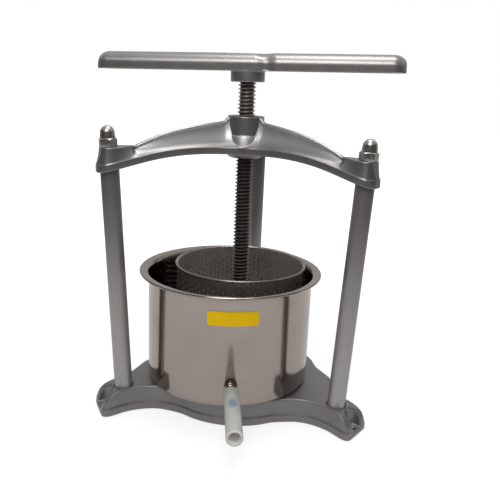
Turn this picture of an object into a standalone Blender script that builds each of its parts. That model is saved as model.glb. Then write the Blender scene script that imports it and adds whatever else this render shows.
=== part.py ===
"""Fruit press: a three-post frame, a hand-turned screw, a strainer basket and a spouted pot.

Metres, +Z up. The origin is on the floor under the screw's axis, and the front is -Y.
"""
import bpy
import bmesh
from math import asin, atan2, cos, pi, radians, sin, sqrt, tan
from mathutils import Matrix, Vector

# Fits shared by all pieces
SEAT_GAP = 0.0003
CUT_OVERRUN = 0.004
SMOOTH_ANGLE = radians(35)
FINE_SEGMENTS = 48
ROUND_SEGMENTS = 24
SMALL_SEGMENTS = 16
HEX_SEGMENTS = 12
BEND_STEPS = 3

# Base casting
BASE_HEIGHT = 0.034
BASE_FRONT_INSET = 0.002
BASE_SIDE_MARGIN = 0.009
BASE_FRONT_ARC_ANGLES = (radians(-60), radians(-48), radians(-36), radians(-26))
BASE_SIDE_ARC_ANGLES = (radians(42), radians(54), radians(66), radians(78))
BASE_PLATE_THICKNESS = 0.008
BASE_WALL = 0.008
BASE_RIB_THICKNESS = 0.008
BASE_HUB_RADIUS = 0.016
BASE_SECTOR_STEPS = 9
BASE_BAND_HEIGHT = 0.012
BASE_BAND_STEP = 0.0015
BASE_EDGE_ROUND = 0.0015
BASE_DRAFT = 0.001
OUTLINE_STEPS = 2
FOOT_PAST_PILLAR = 0.035
FOOT_HALF_WIDTH = 0.025
NOSE_LENGTH = 0.0315
NOSE_LIP = 0.0005
NOSE_EDGE_HEIGHT = 0.004
NOSE_STEPS = 7
NOSE_START_ANGLE = radians(9)
LUG_THICKNESS = 0.0075
LUG_POCKET_TOP_RADIUS = 0.013
LUG_POCKET_FLOOR_RADIUS = 0.010
LUG_POCKET_CENTRE_INSET = 0.008
LUG_HOLE_RADIUS = 0.0035
# Points along a foot's sides: share of the reach, share of the half-width
FOOT_FRONT_SIDE_SHARES = ((0.578, 1.28), (0.627, 1.00), (0.696, 0.80), (0.775, 0.74), (0.843, 0.79),
                          (0.912, 0.95), (0.961, 1.01), (0.992, 0.90), (1.0, 0.66), (1.0, 0.0))
FOOT_WIDE_SIDE_SHARES = ((1.0, 0.66), (0.992, 0.88), (0.961, 0.97), (0.912, 0.92), (0.843, 0.95),
                         (0.784, 1.22), (0.725, 1.64), (0.662, 2.16), (0.598, 2.66))

# Posts, rods and their fasteners
PILLAR_AZIMUTHS = {"left": radians(210), "right": radians(330), "rear": radians(90)}
PILLAR_TO_POT_GAP = 0.02515
PILLAR_LEAN = radians(2.74)
PILLAR_DIAMETER = 0.024
PILLAR_WALL = 0.0015
SOCKET_CLEARANCE = 0.0006
BASE_SOCKET_DEPTH = 0.006
BEAM_SOCKET_DEPTH = 0.008
ROD_DIAMETER = 0.014
ROD_CLEARANCE = 0.0005
COUNTERBORE_RADIUS = 0.015
COUNTERBORE_DEPTH = 0.016
WASHER_RADIUS = 0.0135
WASHER_THICKNESS = 0.0025
NUT_FLAT_WIDTH = 0.021
BASE_NUT_HEIGHT = 0.009
ROD_END_BELOW_NUT = 0.0015
DOME_NUT_HEX_HEIGHT = 0.0105
DOME_HEIGHT = 0.0155
DOME_RADIUS = 0.0098
DOME_TAPER_SHARE = 0.93
DOME_STEPS = 4
DOME_BORE_DEPTH = 0.018
NUT_CHAMFER = 0.0012

# Crossbeam casting
BEAM_HEIGHT = 0.351
ARCH_FLAT_RADIUS = 0.062
ARCH_BEND_RADIUS = 0.380
FLANGE_THICKNESS = 0.0095
FLANGE_EDGE = 0.0010
RIB_HEIGHT = 0.0428
RIB_START_RADIUS = 0.027
RIB_SLOPE = 0.13
RIB_EDGE = 0.0008
ARM_PAST_PAD = 0.0189
ARM_HALF_WIDTH = 0.020
ARM_INNER_END = -0.008
PAD_SEAT_RISE = 0.0088
PAD_POINT_SHARE = 0.745
SCOOP_STEPS = 3
BOSS_RADIUS = 0.0245
BOSS_DROP = 0.0065
BOSS_RISE = 0.049
BOSS_FOOT_RADIUS = 0.018
BOSS_EDGE = 0.0008
# Stations along an arm: share of the reach, flange half-width, top half-width (both shares of the
# arm's half-width), share of the top's height above the flange, share of the side's hollowness
ARM_STATION_SHARES = ((0.080, 1.30, 0.13, 1.00, 0.90), (0.135, 1.12, 0.13, 1.00, 0.90),
                      (0.170, 0.98, 0.13, 1.00, 0.90), (0.220, 0.86, 0.13, 1.00, 0.90),
                      (0.300, 0.77, 0.13, 1.00, 0.90), (0.400, 0.71, 0.13, 1.00, 0.90),
                      (0.520, 0.68, 0.13, 1.00, 0.90), (0.620, 0.69, 0.13, 1.00, 0.85),
                      (0.690, 0.73, 0.13, 1.00, 0.70), (0.725, 0.76, 0.13, 1.00, 0.40),
                      (0.745, 0.78, 0.14, 1.00, 0.05), (0.765, 0.80, 0.24, 1.00, 0.40),
                      (0.800, 0.86, 0.46, 1.00, 0.70), (0.845, 0.94, 0.66, 1.00, 0.75),
                      (0.900, 1.00, 0.75, 1.00, 0.75), (0.940, 0.93, 0.66, 1.00, 0.75),
                      (0.966, 0.78, 0.44, 1.00, 0.75), (0.974, 0.72, 0.36, 0.62, 0.70),
                      (0.985, 0.60, 0.30, 0.30, 0.60), (1.000, 0.30, 0.18, 0.04, 0.40))

# Screw and its nut
THREAD_RADIUS = 0.012
THREAD_DEPTH = 0.00275
THREAD_PITCH = 0.005
THREAD_FLAT = 0.0013
THREAD_SEGMENTS = 10
THREAD_RUNOUT = 0.0028
HUB_REST_GAP = 0.0438
SPIGOT_RADIUS = 0.008
TOP_SPIGOT_RADIUS = 0.009
TOP_SPIGOT_LENGTH = 0.024
SPIGOT_HOLE_RADIUS = 0.0043
SPIGOT_HOLE_DEPTH = 0.019
NUT_THREAD_CREST_RADIUS = 0.0099
NUT_THREAD_ROOT_RADIUS = 0.0127
NUT_THREAD_AXIAL_CLEARANCE = 0.0004
SCREW_NUT_RADIUS = 0.016
SCREW_NUT_INSET = 0.0012

# Handle
HANDLE_HALF_LENGTH = 0.2034
HANDLE_HALF_WIDTH = 0.0235
HANDLE_HEIGHT = 0.0225
HANDLE_TURN = radians(-2.4)
HANDLE_WALL = 0.0045
HANDLE_CROWN_WIDTH = 0.0195
HANDLE_CROWN_HEIGHT = 0.014
HANDLE_END_ROUND = 0.017
HANDLE_END_DROP = 0.011
HANDLE_END_STEPS = 4
HANDLE_POCKET_INNER = 0.030
HANDLE_POCKET_DEPTH = 0.013
HANDLE_HUB_RADIUS = 0.0225
HANDLE_HUB_HEIGHT = 0.0143
HANDLE_HUB_SINK = 0.010
HANDLE_CREASE_REACH = 0.027
HANDLE_CREASE_HALF_WIDTH = 0.012
HANDLE_CREASE_DEPTH = 0.0035
SPIGOT_CLEARANCE = 0.0003
SET_SCREW_RADIUS = 0.004
SET_SCREW_LENGTH = 0.011
SET_SCREW_SOCKET_RADIUS = 0.0022
SET_SCREW_SOCKET_DEPTH = 0.004
SET_SCREW_HEIGHT = 0.0075

# Press plate and what holds it
PLATE_CLEARANCE = 0.0025
PLATE_SEGMENTS = 40
PLATE_THICKNESS = 0.008
PLATE_REST_RISE = 0.0481
PLATE_EDGE_ROUND = 0.0015
PLATE_HUB_RADIUS = 0.022
PLATE_HUB_HEIGHT = 0.026
PLATE_RECESS_RADIUS = 0.017
PLATE_RECESS_DEPTH = 0.010
PLATE_HUB_FILLET = 0.006
THRUST_WASHER_RADIUS = 0.015
THRUST_WASHER_THICKNESS = 0.002
RETAINING_WASHER_RADIUS = 0.013
RETAINING_WASHER_THICKNESS = 0.0025
BOLT_RADIUS = 0.004
BOLT_LENGTH = 0.018
BOLT_FLAT_WIDTH = 0.013
BOLT_HEAD_HEIGHT = 0.0053

# Pot, spout, hose and label
POT_CENTRE = (-0.0118, -0.0134)
POT_FRONT_AZIMUTH = radians(280.5)
POT_RADIUS = 0.114
POT_HEIGHT = 0.1557
POT_SHEET = 0.0012
POT_CORNER_RADIUS = 0.007
POT_RIM_WIDTH = 0.0127
POT_LIP_FLARE = 0.0038
POT_COVE_HEIGHT = 0.012
POT_BEAD_RADIUS = 0.0017
SPOUT_HEIGHT = 0.062
SPOUT_RADIUS = 0.007
SPOUT_WALL = 0.0012
SPOUT_REACH = 0.050
SPOUT_INNER_END = 0.0015
COLLAR_RADIUS = 0.0098
COLLAR_THICKNESS = 0.003
HOSE_RADIUS = 0.010
HOSE_WALL = 0.0027
HOSE_START = 0.006
HOSE_LENGTH = 0.112
HOSE_EDGE = 0.0008
LABEL_WIDTH = 0.0655
LABEL_HEIGHT = 0.019
LABEL_BELOW_RIM = 0.0322
LABEL_THICKNESS = 0.0003

# Basket
BASKET_TO_POT_GAP = 0.00545
BASKET_PAST_RIM = 0.0068
BASKET_SHEET = 0.0012
BASKET_BEAD_RADIUS = 0.0016
BASKET_HOLE_RADIUS = 0.0017
BASKET_HOLE_COLUMNS = 12
BASKET_HOLE_ROWS = 4
BASKET_HOLE_SIDES = 6
BASKET_HOLE_MARGIN = 0.022

# Sizes and places worked out from those above: the pot sets how far apart the posts stand
PILLAR_RADIUS = PILLAR_DIAMETER / 2
ROD_RADIUS = ROD_DIAMETER / 2
POT_OFFSET = sqrt(POT_CENTRE[0] ** 2 + POT_CENTRE[1] ** 2)
POT_RIM_RADIUS = POT_RADIUS + POT_RIM_WIDTH
POT_LIP_RADIUS = POT_RADIUS + POT_LIP_FLARE
BASKET_RADIUS = POT_RADIUS - POT_SHEET - POT_OFFSET - BASKET_TO_POT_GAP
PILLAR_CIRCLE_RADIUS = POT_RADIUS + POT_OFFSET + PILLAR_TO_POT_GAP + PILLAR_RADIUS
BASE_FRONT_RADIUS = POT_RADIUS - BASE_FRONT_INSET
BASE_SIDE_RADIUS = POT_RADIUS + BASE_SIDE_MARGIN
FOOT_REACH = PILLAR_CIRCLE_RADIUS + FOOT_PAST_PILLAR
PAD_SEAT_HEIGHT = BEAM_HEIGHT + PAD_SEAT_RISE
SEAT_ALONG_PILLAR = (PAD_SEAT_HEIGHT - BASE_HEIGHT) / cos(PILLAR_LEAN)
PAD_CENTRE_RADIUS = PILLAR_CIRCLE_RADIUS + SEAT_ALONG_PILLAR * sin(PILLAR_LEAN)
ARM_REACH = PAD_CENTRE_RADIUS + ARM_PAST_PAD
PAD_POINT_RADIUS = ARM_REACH * PAD_POINT_SHARE
BOSS_TOP = BEAM_HEIGHT + BOSS_RISE
BOSS_BOTTOM = BEAM_HEIGHT - BOSS_DROP
HUB_BOTTOM = BOSS_TOP + HUB_REST_GAP
THREAD_TOP = HUB_BOTTOM - SEAT_GAP
POT_FLOOR = BASE_HEIGHT + SEAT_GAP
POT_TOP = POT_FLOOR + POT_HEIGHT
LABEL_CENTRE_HEIGHT = POT_TOP - LABEL_BELOW_RIM
BASKET_BOTTOM = POT_FLOOR + POT_SHEET + SEAT_GAP
BASKET_HEIGHT = POT_TOP + BASKET_PAST_RIM - BASKET_BOTTOM
PLATE_BOTTOM = BASKET_BOTTOM + PLATE_REST_RISE
PLATE_HUB_TOP = PLATE_BOTTOM + PLATE_HUB_HEIGHT
SHOULDER = PLATE_HUB_TOP + SEAT_GAP + THRUST_WASHER_THICKNESS + SEAT_GAP
THREAD_LENGTH = THREAD_TOP - SHOULDER
RECESS_FLOOR = PLATE_BOTTOM + PLATE_RECESS_DEPTH
SPIGOT_END = RECESS_FLOOR - SEAT_GAP
WASHER_TOP = SPIGOT_END - SEAT_GAP
BOLT_HEAD_TOP = WASHER_TOP - RETAINING_WASHER_THICKNESS - SEAT_GAP
PLATE_RADIUS = BASKET_RADIUS - BASKET_SHEET - PLATE_CLEARANCE
HANDLE_BOTTOM = HUB_BOTTOM + HANDLE_HUB_HEIGHT
THREAD_ROOT = THREAD_RADIUS - THREAD_DEPTH
THREAD_FLANK = THREAD_PITCH / 2 - THREAD_FLAT


# Making meshes and objects

def clear_scene():
    for item in list(bpy.data.objects):
        bpy.data.objects.remove(item, do_unlink=True)


def material(name, colour, roughness, metallic):
    made = bpy.data.materials.new(name)
    made.use_nodes = True
    shader = made.node_tree.nodes["Principled BSDF"]
    shader.inputs["Base Color"].default_value = (*colour, 1.0)
    shader.inputs["Roughness"].default_value = roughness
    shader.inputs["Metallic"].default_value = metallic
    return made


def mesh_object(name, points, faces, finish=None, place=None):
    mesh = bpy.data.meshes.new(name)
    mesh.from_pydata([tuple(point) for point in points], [], faces)
    work = bmesh.new()
    work.from_mesh(mesh)
    bmesh.ops.recalc_face_normals(work, faces=work.faces)
    if work.calc_volume(signed=True) < 0:
        bmesh.ops.reverse_faces(work, faces=work.faces)
    work.to_mesh(mesh)
    work.free()
    mesh.shade_smooth()
    mesh.set_sharp_from_angle(angle=SMOOTH_ANGLE)
    made = bpy.data.objects.new(name, mesh)
    bpy.context.collection.objects.link(made)
    if finish:
        mesh.materials.append(finish)
    if place:
        made.matrix_world = place
    return made


def as_cutter(made):
    made.hide_render = True
    made.display_type = "WIRE"
    return made


def combine(target, other, operation):
    step = target.modifiers.new(other.name, "BOOLEAN")
    step.operation = operation
    step.solver = "EXACT"
    step.object = other


def cut(target, other):
    combine(target, as_cutter(other), "DIFFERENCE")


def join(target, other):
    combine(target, as_cutter(other), "UNION")


def ring_faces(rings, count, closed=False):
    """Quads between rings of count points each; closed joins the last ring to the first."""
    faces = []
    spans = rings if closed else rings - 1
    for ring in range(spans):
        below = ring * count
        above = (ring + 1) % rings * count
        for step in range(count):
            after = (step + 1) % count
            faces.append((below + step, below + after, above + after, above + step))
    return faces


def loft(sections):
    """A capped solid through closed sections with the same number of points."""
    count = len(sections[0])
    points = [point for section in sections for point in section]
    faces = ring_faces(len(sections), count)
    faces.append(tuple(range(count)))
    faces.append(tuple(range(len(points) - count, len(points))))
    return points, faces


def turned(profile, segments):
    """A solid of revolution about Z from (radius, height) points.

    A profile that starts and ends on the axis gets poles; any other is a closed loop.
    """
    solid = profile[0][0] == 0
    loop = profile[1:-1] if solid else profile
    points = []
    for radius, height in loop:
        for step in range(segments):
            angle = 2 * pi * step / segments
            points.append((radius * cos(angle), radius * sin(angle), height))
    faces = ring_faces(len(loop), segments, closed=not solid)
    if solid:
        first_pole = len(points)
        last_ring = first_pole - segments
        points.append((0, 0, profile[0][1]))
        points.append((0, 0, profile[-1][1]))
        for step in range(segments):
            after = (step + 1) % segments
            faces.append((first_pole, after, step))
            faces.append((first_pole + 1, last_ring + step, last_ring + after))
    return points, faces


def arc(centre, radius, start, end, steps):
    """Points on an arc in the (radius, height) plane, both ends included."""
    points = []
    for step in range(steps + 1):
        angle = start + (end - start) * step / steps
        points.append((centre[0] + radius * cos(angle), centre[1] + radius * sin(angle)))
    return points


def smooth_closed(points, steps):
    """A closed Catmull-Rom curve through flat points."""
    curve = []
    count = len(points)
    for index in range(count):
        before, start, end, after = (Vector(points[(index + shift) % count]) for shift in (-1, 0, 1, 2))
        for step in range(steps):
            t = step / steps
            bend = (2 * before - 5 * start + 4 * end - after) * t * t
            twist = (3 * start - before - 3 * end + after) * t * t * t
            curve.append((2 * start + (end - before) * t + bend + twist) / 2)
    return curve


def inset_outline(outline, distance):
    """Moves each point of a counter-clockwise outline inward, square to its neighbours' chord."""
    moved = []
    count = len(outline)
    for index, point in enumerate(outline):
        chord = outline[(index + 1) % count] - outline[index - 1]
        inward = Vector((-chord.y, chord.x)).normalized()
        moved.append(point + inward * distance)
    return moved


def foot_point(azimuth, along, across):
    """A flat point given along and across a foot that points to an azimuth."""
    forward = Vector((cos(azimuth), sin(azimuth)))
    sideways = Vector((-sin(azimuth), cos(azimuth)))
    return along * forward + across * sideways


def pillar_frame(azimuth):
    """The frame of a post: its origin at the base's top, +Z up along the post."""
    at_base = Matrix.Translation((PILLAR_CIRCLE_RADIUS, 0, BASE_HEIGHT))
    return Matrix.Rotation(azimuth, 4, "Z") @ at_base @ Matrix.Rotation(PILLAR_LEAN, 4, "Y")


def pot_frame():
    """The frame of the pot: its origin on the pot's axis at the floor, +X to the spout."""
    at_centre = Matrix.Translation((POT_CENTRE[0], POT_CENTRE[1], 0))
    return at_centre @ Matrix.Rotation(POT_FRONT_AZIMUTH, 4, "Z")


def cylinder(name, radius, low, high, segments, place=None, finish=None):
    profile = [(0, low), (radius, low), (radius, high), (0, high)]
    return mesh_object(name, *turned(profile, segments), finish, place)


# Base

def base_outline():
    """The base's plan, counter-clockwise, from the middle of its front."""
    foot = PILLAR_AZIMUTHS["right"]
    rear = PILLAR_AZIMUTHS["rear"]
    half = [foot_point(foot + angle, BASE_FRONT_RADIUS, 0) for angle in BASE_FRONT_ARC_ANGLES]
    for along, across in FOOT_FRONT_SIDE_SHARES:
        half.append(foot_point(foot, along * FOOT_REACH, -across * FOOT_HALF_WIDTH))
    for along, across in FOOT_WIDE_SIDE_SHARES:
        half.append(foot_point(foot, along * FOOT_REACH, across * FOOT_HALF_WIDTH))
    half += [foot_point(foot + angle, BASE_SIDE_RADIUS, 0) for angle in BASE_SIDE_ARC_ANGLES]
    for along, across in reversed(FOOT_WIDE_SIDE_SHARES):
        half.append(foot_point(rear, along * FOOT_REACH, -across * FOOT_HALF_WIDTH))
    rear_middle = foot_point(rear, FOOT_REACH, 0)
    mirrored = [Vector((-point.x, point.y)) for point in reversed(half[1:])]
    return smooth_closed(half + [rear_middle] + mirrored, OUTLINE_STEPS)


def base_body(finish):
    outline = base_outline()
    top_inset = BASE_BAND_STEP + BASE_DRAFT
    levels = ((0, BASE_EDGE_ROUND), (BASE_EDGE_ROUND, 0),
              (BASE_BAND_HEIGHT - BASE_BAND_STEP, 0), (BASE_BAND_HEIGHT, BASE_BAND_STEP),
              (BASE_HEIGHT - BASE_EDGE_ROUND, top_inset), (BASE_HEIGHT, top_inset + BASE_EDGE_ROUND))
    sections = []
    for height, inset in levels:
        sections.append([(point.x, point.y, height) for point in inset_outline(outline, inset)])
    return mesh_object("base", *loft(sections), finish)


def nose_cutter(side, azimuth):
    """Rounds a foot's outer top edge: a bar across the foot with a quarter of an ellipse cut out."""
    start = FOOT_REACH - NOSE_LIP - NOSE_LENGTH
    drop = BASE_HEIGHT - NOSE_EDGE_HEIGHT
    profile = [(start, BASE_HEIGHT + CUT_OVERRUN)]
    for step in range(NOSE_STEPS + 1):
        angle = NOSE_START_ANGLE + (pi / 2 - NOSE_START_ANGLE) * step / NOSE_STEPS
        profile.append((start + NOSE_LENGTH * sin(angle), NOSE_EDGE_HEIGHT + drop * cos(angle)))
    profile.append((FOOT_REACH + CUT_OVERRUN, NOSE_EDGE_HEIGHT))
    profile.append((FOOT_REACH + CUT_OVERRUN, BASE_HEIGHT + CUT_OVERRUN))
    sections = []
    for across in (-2 * FOOT_HALF_WIDTH, 2 * FOOT_HALF_WIDTH):
        sections.append([(along, across, height) for along, height in profile])
    return mesh_object("nose_cutter_" + side, *loft(sections), None, Matrix.Rotation(azimuth, 4, "Z"))


def lug_pocket_cutter(side, azimuth):
    """The open pocket over a foot's bolt lug, wider at its top."""
    centre = FOOT_REACH - LUG_POCKET_CENTRE_INSET
    outer = FOOT_REACH + CUT_OVERRUN
    height_over = BASE_HEIGHT + CUT_OVERRUN
    sections = []
    for radius, height in ((LUG_POCKET_FLOOR_RADIUS, LUG_THICKNESS), (LUG_POCKET_TOP_RADIUS, height_over)):
        bend = arc((centre, 0), radius, pi / 2, 3 * pi / 2, 2 * BEND_STEPS)
        plan = [(outer, radius)] + bend + [(outer, -radius)]
        sections.append([(along, across, height) for along, across in plan])
    return mesh_object("pocket_cutter_" + side, *loft(sections), None, Matrix.Rotation(azimuth, 4, "Z"))


def lug_hole_cutter(side, azimuth):
    along = FOOT_REACH - LUG_POCKET_CENTRE_INSET
    place = Matrix.Rotation(azimuth, 4, "Z") @ Matrix.Translation((along, 0, 0))
    top = LUG_THICKNESS + CUT_OVERRUN
    return cylinder("lug_hole_cutter_" + side, LUG_HOLE_RADIUS, -CUT_OVERRUN, top, SMALL_SEGMENTS, place)


def base_pillar_cutter(side, azimuth):
    """Socket, rod bore and nut counterbore of one foot, along the post."""
    socket = PILLAR_RADIUS + SOCKET_CLEARANCE
    bore = ROD_RADIUS + ROD_CLEARANCE
    counterbore_floor = COUNTERBORE_DEPTH - BASE_HEIGHT
    below = -BASE_HEIGHT - CUT_OVERRUN
    profile = [(0, CUT_OVERRUN), (socket, CUT_OVERRUN), (socket, -BASE_SOCKET_DEPTH),
               (bore, -BASE_SOCKET_DEPTH), (bore, counterbore_floor),
               (COUNTERBORE_RADIUS, counterbore_floor), (COUNTERBORE_RADIUS, below), (0, below)]
    return mesh_object("foot_cutter_" + side, *turned(profile, ROUND_SEGMENTS), None, pillar_frame(azimuth))


def base_hollow_cutter(side, azimuth):
    """One sector of the open underside, opposite a foot, between two ribs, the hub and the wall."""
    outer = BASE_FRONT_RADIUS - BASE_WALL
    half_rib = BASE_RIB_THICKNESS / 2
    plan = []
    for radius, direction in ((outer, 1), (BASE_HUB_RADIUS, -1)):
        reach = pi / 3 - asin(half_rib / radius)
        for step in range(BASE_SECTOR_STEPS + 1):
            angle = azimuth + pi + direction * reach * (2 * step / BASE_SECTOR_STEPS - 1)
            plan.append((radius * cos(angle), radius * sin(angle)))
    ceiling = BASE_HEIGHT - BASE_PLATE_THICKNESS
    sections = [[(x, y, height) for x, y in plan] for height in (-CUT_OVERRUN, ceiling)]
    return mesh_object("hollow_cutter_" + side, *loft(sections))


def make_base():
    base = base_body(material("base_paint", (0.34, 0.34, 0.35), 0.45, 0.4))
    for side, azimuth in PILLAR_AZIMUTHS.items():
        cut(base, base_hollow_cutter(side, azimuth))
        cut(base, nose_cutter(side, azimuth))
        cut(base, lug_pocket_cutter(side, azimuth))
        cut(base, lug_hole_cutter(side, azimuth))
        cut(base, base_pillar_cutter(side, azimuth))


# Crossbeam

def arch_height(radius):
    """Height of the crossbeam's underside at a distance from the axis."""
    past_flat = max(0, radius - ARCH_FLAT_RADIUS)
    return BEAM_HEIGHT - ARCH_BEND_RADIUS + sqrt(ARCH_BEND_RADIUS ** 2 - past_flat ** 2)


def pad_top(radius):
    """Height of a pad's top, which is square to the post."""
    return PAD_SEAT_HEIGHT - (radius - PAD_CENTRE_RADIUS) * tan(PILLAR_LEAN)


def rib_top(radius):
    """Height of a rib's top edge, which falls along a bend from the boss to the pad's point."""
    start = BEAM_HEIGHT + RIB_HEIGHT
    span = PAD_POINT_RADIUS - RIB_START_RADIUS
    bend = start - RIB_SLOPE * span - pad_top(PAD_POINT_RADIUS)
    past_start = max(0, radius - RIB_START_RADIUS)
    return start - RIB_SLOPE * past_start - bend * (past_start / span) ** 3


def scoop(low, high, hollowness):
    """Points on the hollow side between the flange's edge and the rib's or pad's edge."""
    middle = (low + high) / 2
    corner = Vector((high.x, low.y))
    pull = middle.lerp(corner, hollowness)
    points = []
    for step in range(1, SCOOP_STEPS + 1):
        t = step / (SCOOP_STEPS + 1)
        points.append(low * (1 - t) ** 2 + pull * 2 * t * (1 - t) + high * t ** 2)
    return points


def arm_section(radius, flange_half, top_half, height_share, hollowness):
    """One closed section across an arm, symmetric about its middle."""
    under = arch_height(radius)
    flange_top = under + FLANGE_THICKNESS
    full_top = pad_top(radius) if radius > PAD_POINT_RADIUS else rib_top(radius)
    top = flange_top + (full_top - flange_top) * height_share
    edge = min(RIB_EDGE, (top - flange_top) / 2)
    side = [Vector((flange_half - FLANGE_EDGE, under)), Vector((flange_half, under + FLANGE_EDGE)),
            Vector((flange_half, flange_top - FLANGE_EDGE))]
    low = Vector((flange_half - FLANGE_EDGE, flange_top))
    high = Vector((top_half, top - edge))
    side += [low] + scoop(low, high, hollowness) + [high, Vector((top_half - RIB_EDGE, top))]
    mirrored = [Vector((-point.x, point.y)) for point in reversed(side)]
    return [(radius, point.x, point.y) for point in side + mirrored]


def arm(name, azimuth, finish=None):
    first = ARM_STATION_SHARES[0]
    stations = [(ARM_INNER_END, *first[1:])]
    stations += [(share * ARM_REACH, *rest) for share, *rest in ARM_STATION_SHARES]
    sections = []
    for radius, flange, top, height, hollowness in stations:
        flange_half = flange * ARM_HALF_WIDTH
        sections.append(arm_section(radius, flange_half, top * ARM_HALF_WIDTH, height, hollowness))
    return mesh_object(name, *loft(sections), finish, Matrix.Rotation(azimuth, 4, "Z"))


def boss():
    """The round boss in the middle, with a rounded lower edge."""
    drop = BOSS_RADIUS - BOSS_FOOT_RADIUS
    foot = arc((BOSS_FOOT_RADIUS, BOSS_BOTTOM + drop), drop, -pi / 2, 0, BEND_STEPS)
    profile = [(0, BOSS_BOTTOM)] + foot
    profile += [(BOSS_RADIUS, BOSS_TOP - BOSS_EDGE), (BOSS_RADIUS - BOSS_EDGE, BOSS_TOP), (0, BOSS_TOP)]
    return mesh_object("boss", *turned(profile, 2 * ROUND_SEGMENTS))


def beam_pillar_cutter(side, azimuth):
    """Socket for the post and bore for its rod, cut through an arm's pad along the post."""
    under = (arch_height(PAD_CENTRE_RADIUS) - BASE_HEIGHT) / cos(PILLAR_LEAN)
    floor = under + BEAM_SOCKET_DEPTH
    socket = PILLAR_RADIUS + SOCKET_CLEARANCE
    bore = ROD_RADIUS + ROD_CLEARANCE
    above = SEAT_ALONG_PILLAR + CUT_OVERRUN
    below = under - BEAM_SOCKET_DEPTH
    profile = [(0, below), (socket, below), (socket, floor), (bore, floor), (bore, above), (0, above)]
    return mesh_object("pad_cutter_" + side, *turned(profile, ROUND_SEGMENTS), None, pillar_frame(azimuth))


def make_crossbeam():
    paint = material("crossbeam_paint", (0.36, 0.36, 0.37), 0.42, 0.4)
    sides = list(PILLAR_AZIMUTHS.items())
    beam = arm("crossbeam", sides[0][1], paint)
    # The first arm is turned in its mesh, so that the casting's origin stays on the axis
    beam.data.transform(beam.matrix_world)
    beam.matrix_world = Matrix()
    for side, azimuth in sides[1:]:
        join(beam, arm("arm_" + side, azimuth))
    join(beam, boss())
    bore = SCREW_NUT_RADIUS + SEAT_GAP
    low = BOSS_BOTTOM - CUT_OVERRUN
    cut(beam, cylinder("boss_bore_cutter", bore, low, BOSS_TOP + CUT_OVERRUN, ROUND_SEGMENTS))
    for side, azimuth in sides:
        cut(beam, beam_pillar_cutter(side, azimuth))


# Posts, rods and fasteners

def hexagon_radius(angle, flat_width):
    """Distance from a hexagon's centre to its edge in a direction."""
    sector = (angle + pi / 6) % (pi / 3) - pi / 6
    return flat_width / 2 / cos(sector)


def hexed(profile, flat_width, segments):
    """Like a closed turned profile, but no point lies outside a hexagon where its third value is true."""
    points = []
    for radius, height, in_hexagon in profile:
        for step in range(segments):
            angle = 2 * pi * step / segments
            reach = min(radius, hexagon_radius(angle, flat_width)) if in_hexagon else radius
            points.append((reach * cos(angle), reach * sin(angle), height))
    return points, ring_faces(len(profile), segments, closed=True)


def hex_nut_profile(bore, flat_width, low, height):
    corner = flat_width / sqrt(3)
    face = corner - NUT_CHAMFER
    top = low + height
    return [(bore, low, False), (face, low, True), (corner, low + NUT_CHAMFER / 2, True),
            (corner, top - NUT_CHAMFER / 2, True), (face, top, True), (bore, top, False)]


def dome_nut_profile():
    """A domed nut: hexagon, tapered dome with a round top, and a blind bore with a cone-shaped end."""
    corner = NUT_FLAT_WIDTH / sqrt(3)
    face = corner - NUT_CHAMFER
    bore = ROD_RADIUS + ROD_CLEARANCE
    crown = DOME_RADIUS * DOME_TAPER_SHARE
    straight = DOME_NUT_HEX_HEIGHT + DOME_HEIGHT - crown
    profile = [(bore, 0, False), (face, 0, True), (corner, NUT_CHAMFER / 2, True),
               (corner, DOME_NUT_HEX_HEIGHT - NUT_CHAMFER, True), (DOME_RADIUS, DOME_NUT_HEX_HEIGHT, False)]
    for radius, height in arc((0, straight), crown, 0, pi / 2, DOME_STEPS)[:-1]:
        profile.append((radius, height, False))
    return profile, straight + crown, bore


def make_dome_nut(side, finish):
    """The bore's end and the dome's top are poles, so the two shells are closed with fans."""
    profile, top, bore = dome_nut_profile()
    points, faces = hexed(profile, NUT_FLAT_WIDTH, ROUND_SEGMENTS)
    count = ROUND_SEGMENTS
    # The last ring would close back to the bore's mouth; those quads become the two ends
    faces = faces[:-count]
    top_pole = len(points)
    points.append((0, 0, top))
    bore_ring = len(points)
    for step in range(count):
        angle = 2 * pi * step / count
        points.append((bore * cos(angle), bore * sin(angle), DOME_BORE_DEPTH))
    bore_pole = len(points)
    points.append((0, 0, DOME_BORE_DEPTH + bore / 2))
    last = top_pole - count
    for step in range(count):
        after = (step + 1) % count
        faces.append((last + step, last + after, top_pole))
        faces.append((after, step, bore_ring + step, bore_ring + after))
        faces.append((bore_ring + after, bore_ring + step, bore_pole))
    lift = Matrix.Translation((0, 0, SEAT_ALONG_PILLAR + SEAT_GAP))
    mesh_object("dome_nut_" + side, points, faces, finish, pillar_frame(PILLAR_AZIMUTHS[side]) @ lift)


def make_pillar(side, place, finish):
    under = (arch_height(PAD_CENTRE_RADIUS) - BASE_HEIGHT) / cos(PILLAR_LEAN)
    low = SEAT_GAP - BASE_SOCKET_DEPTH
    high = under + BEAM_SOCKET_DEPTH - SEAT_GAP
    inner = PILLAR_RADIUS - PILLAR_WALL
    profile = [(inner, low), (PILLAR_RADIUS, low), (PILLAR_RADIUS, high), (inner, high)]
    mesh_object("pillar_" + side, *turned(profile, ROUND_SEGMENTS), finish, place)


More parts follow.
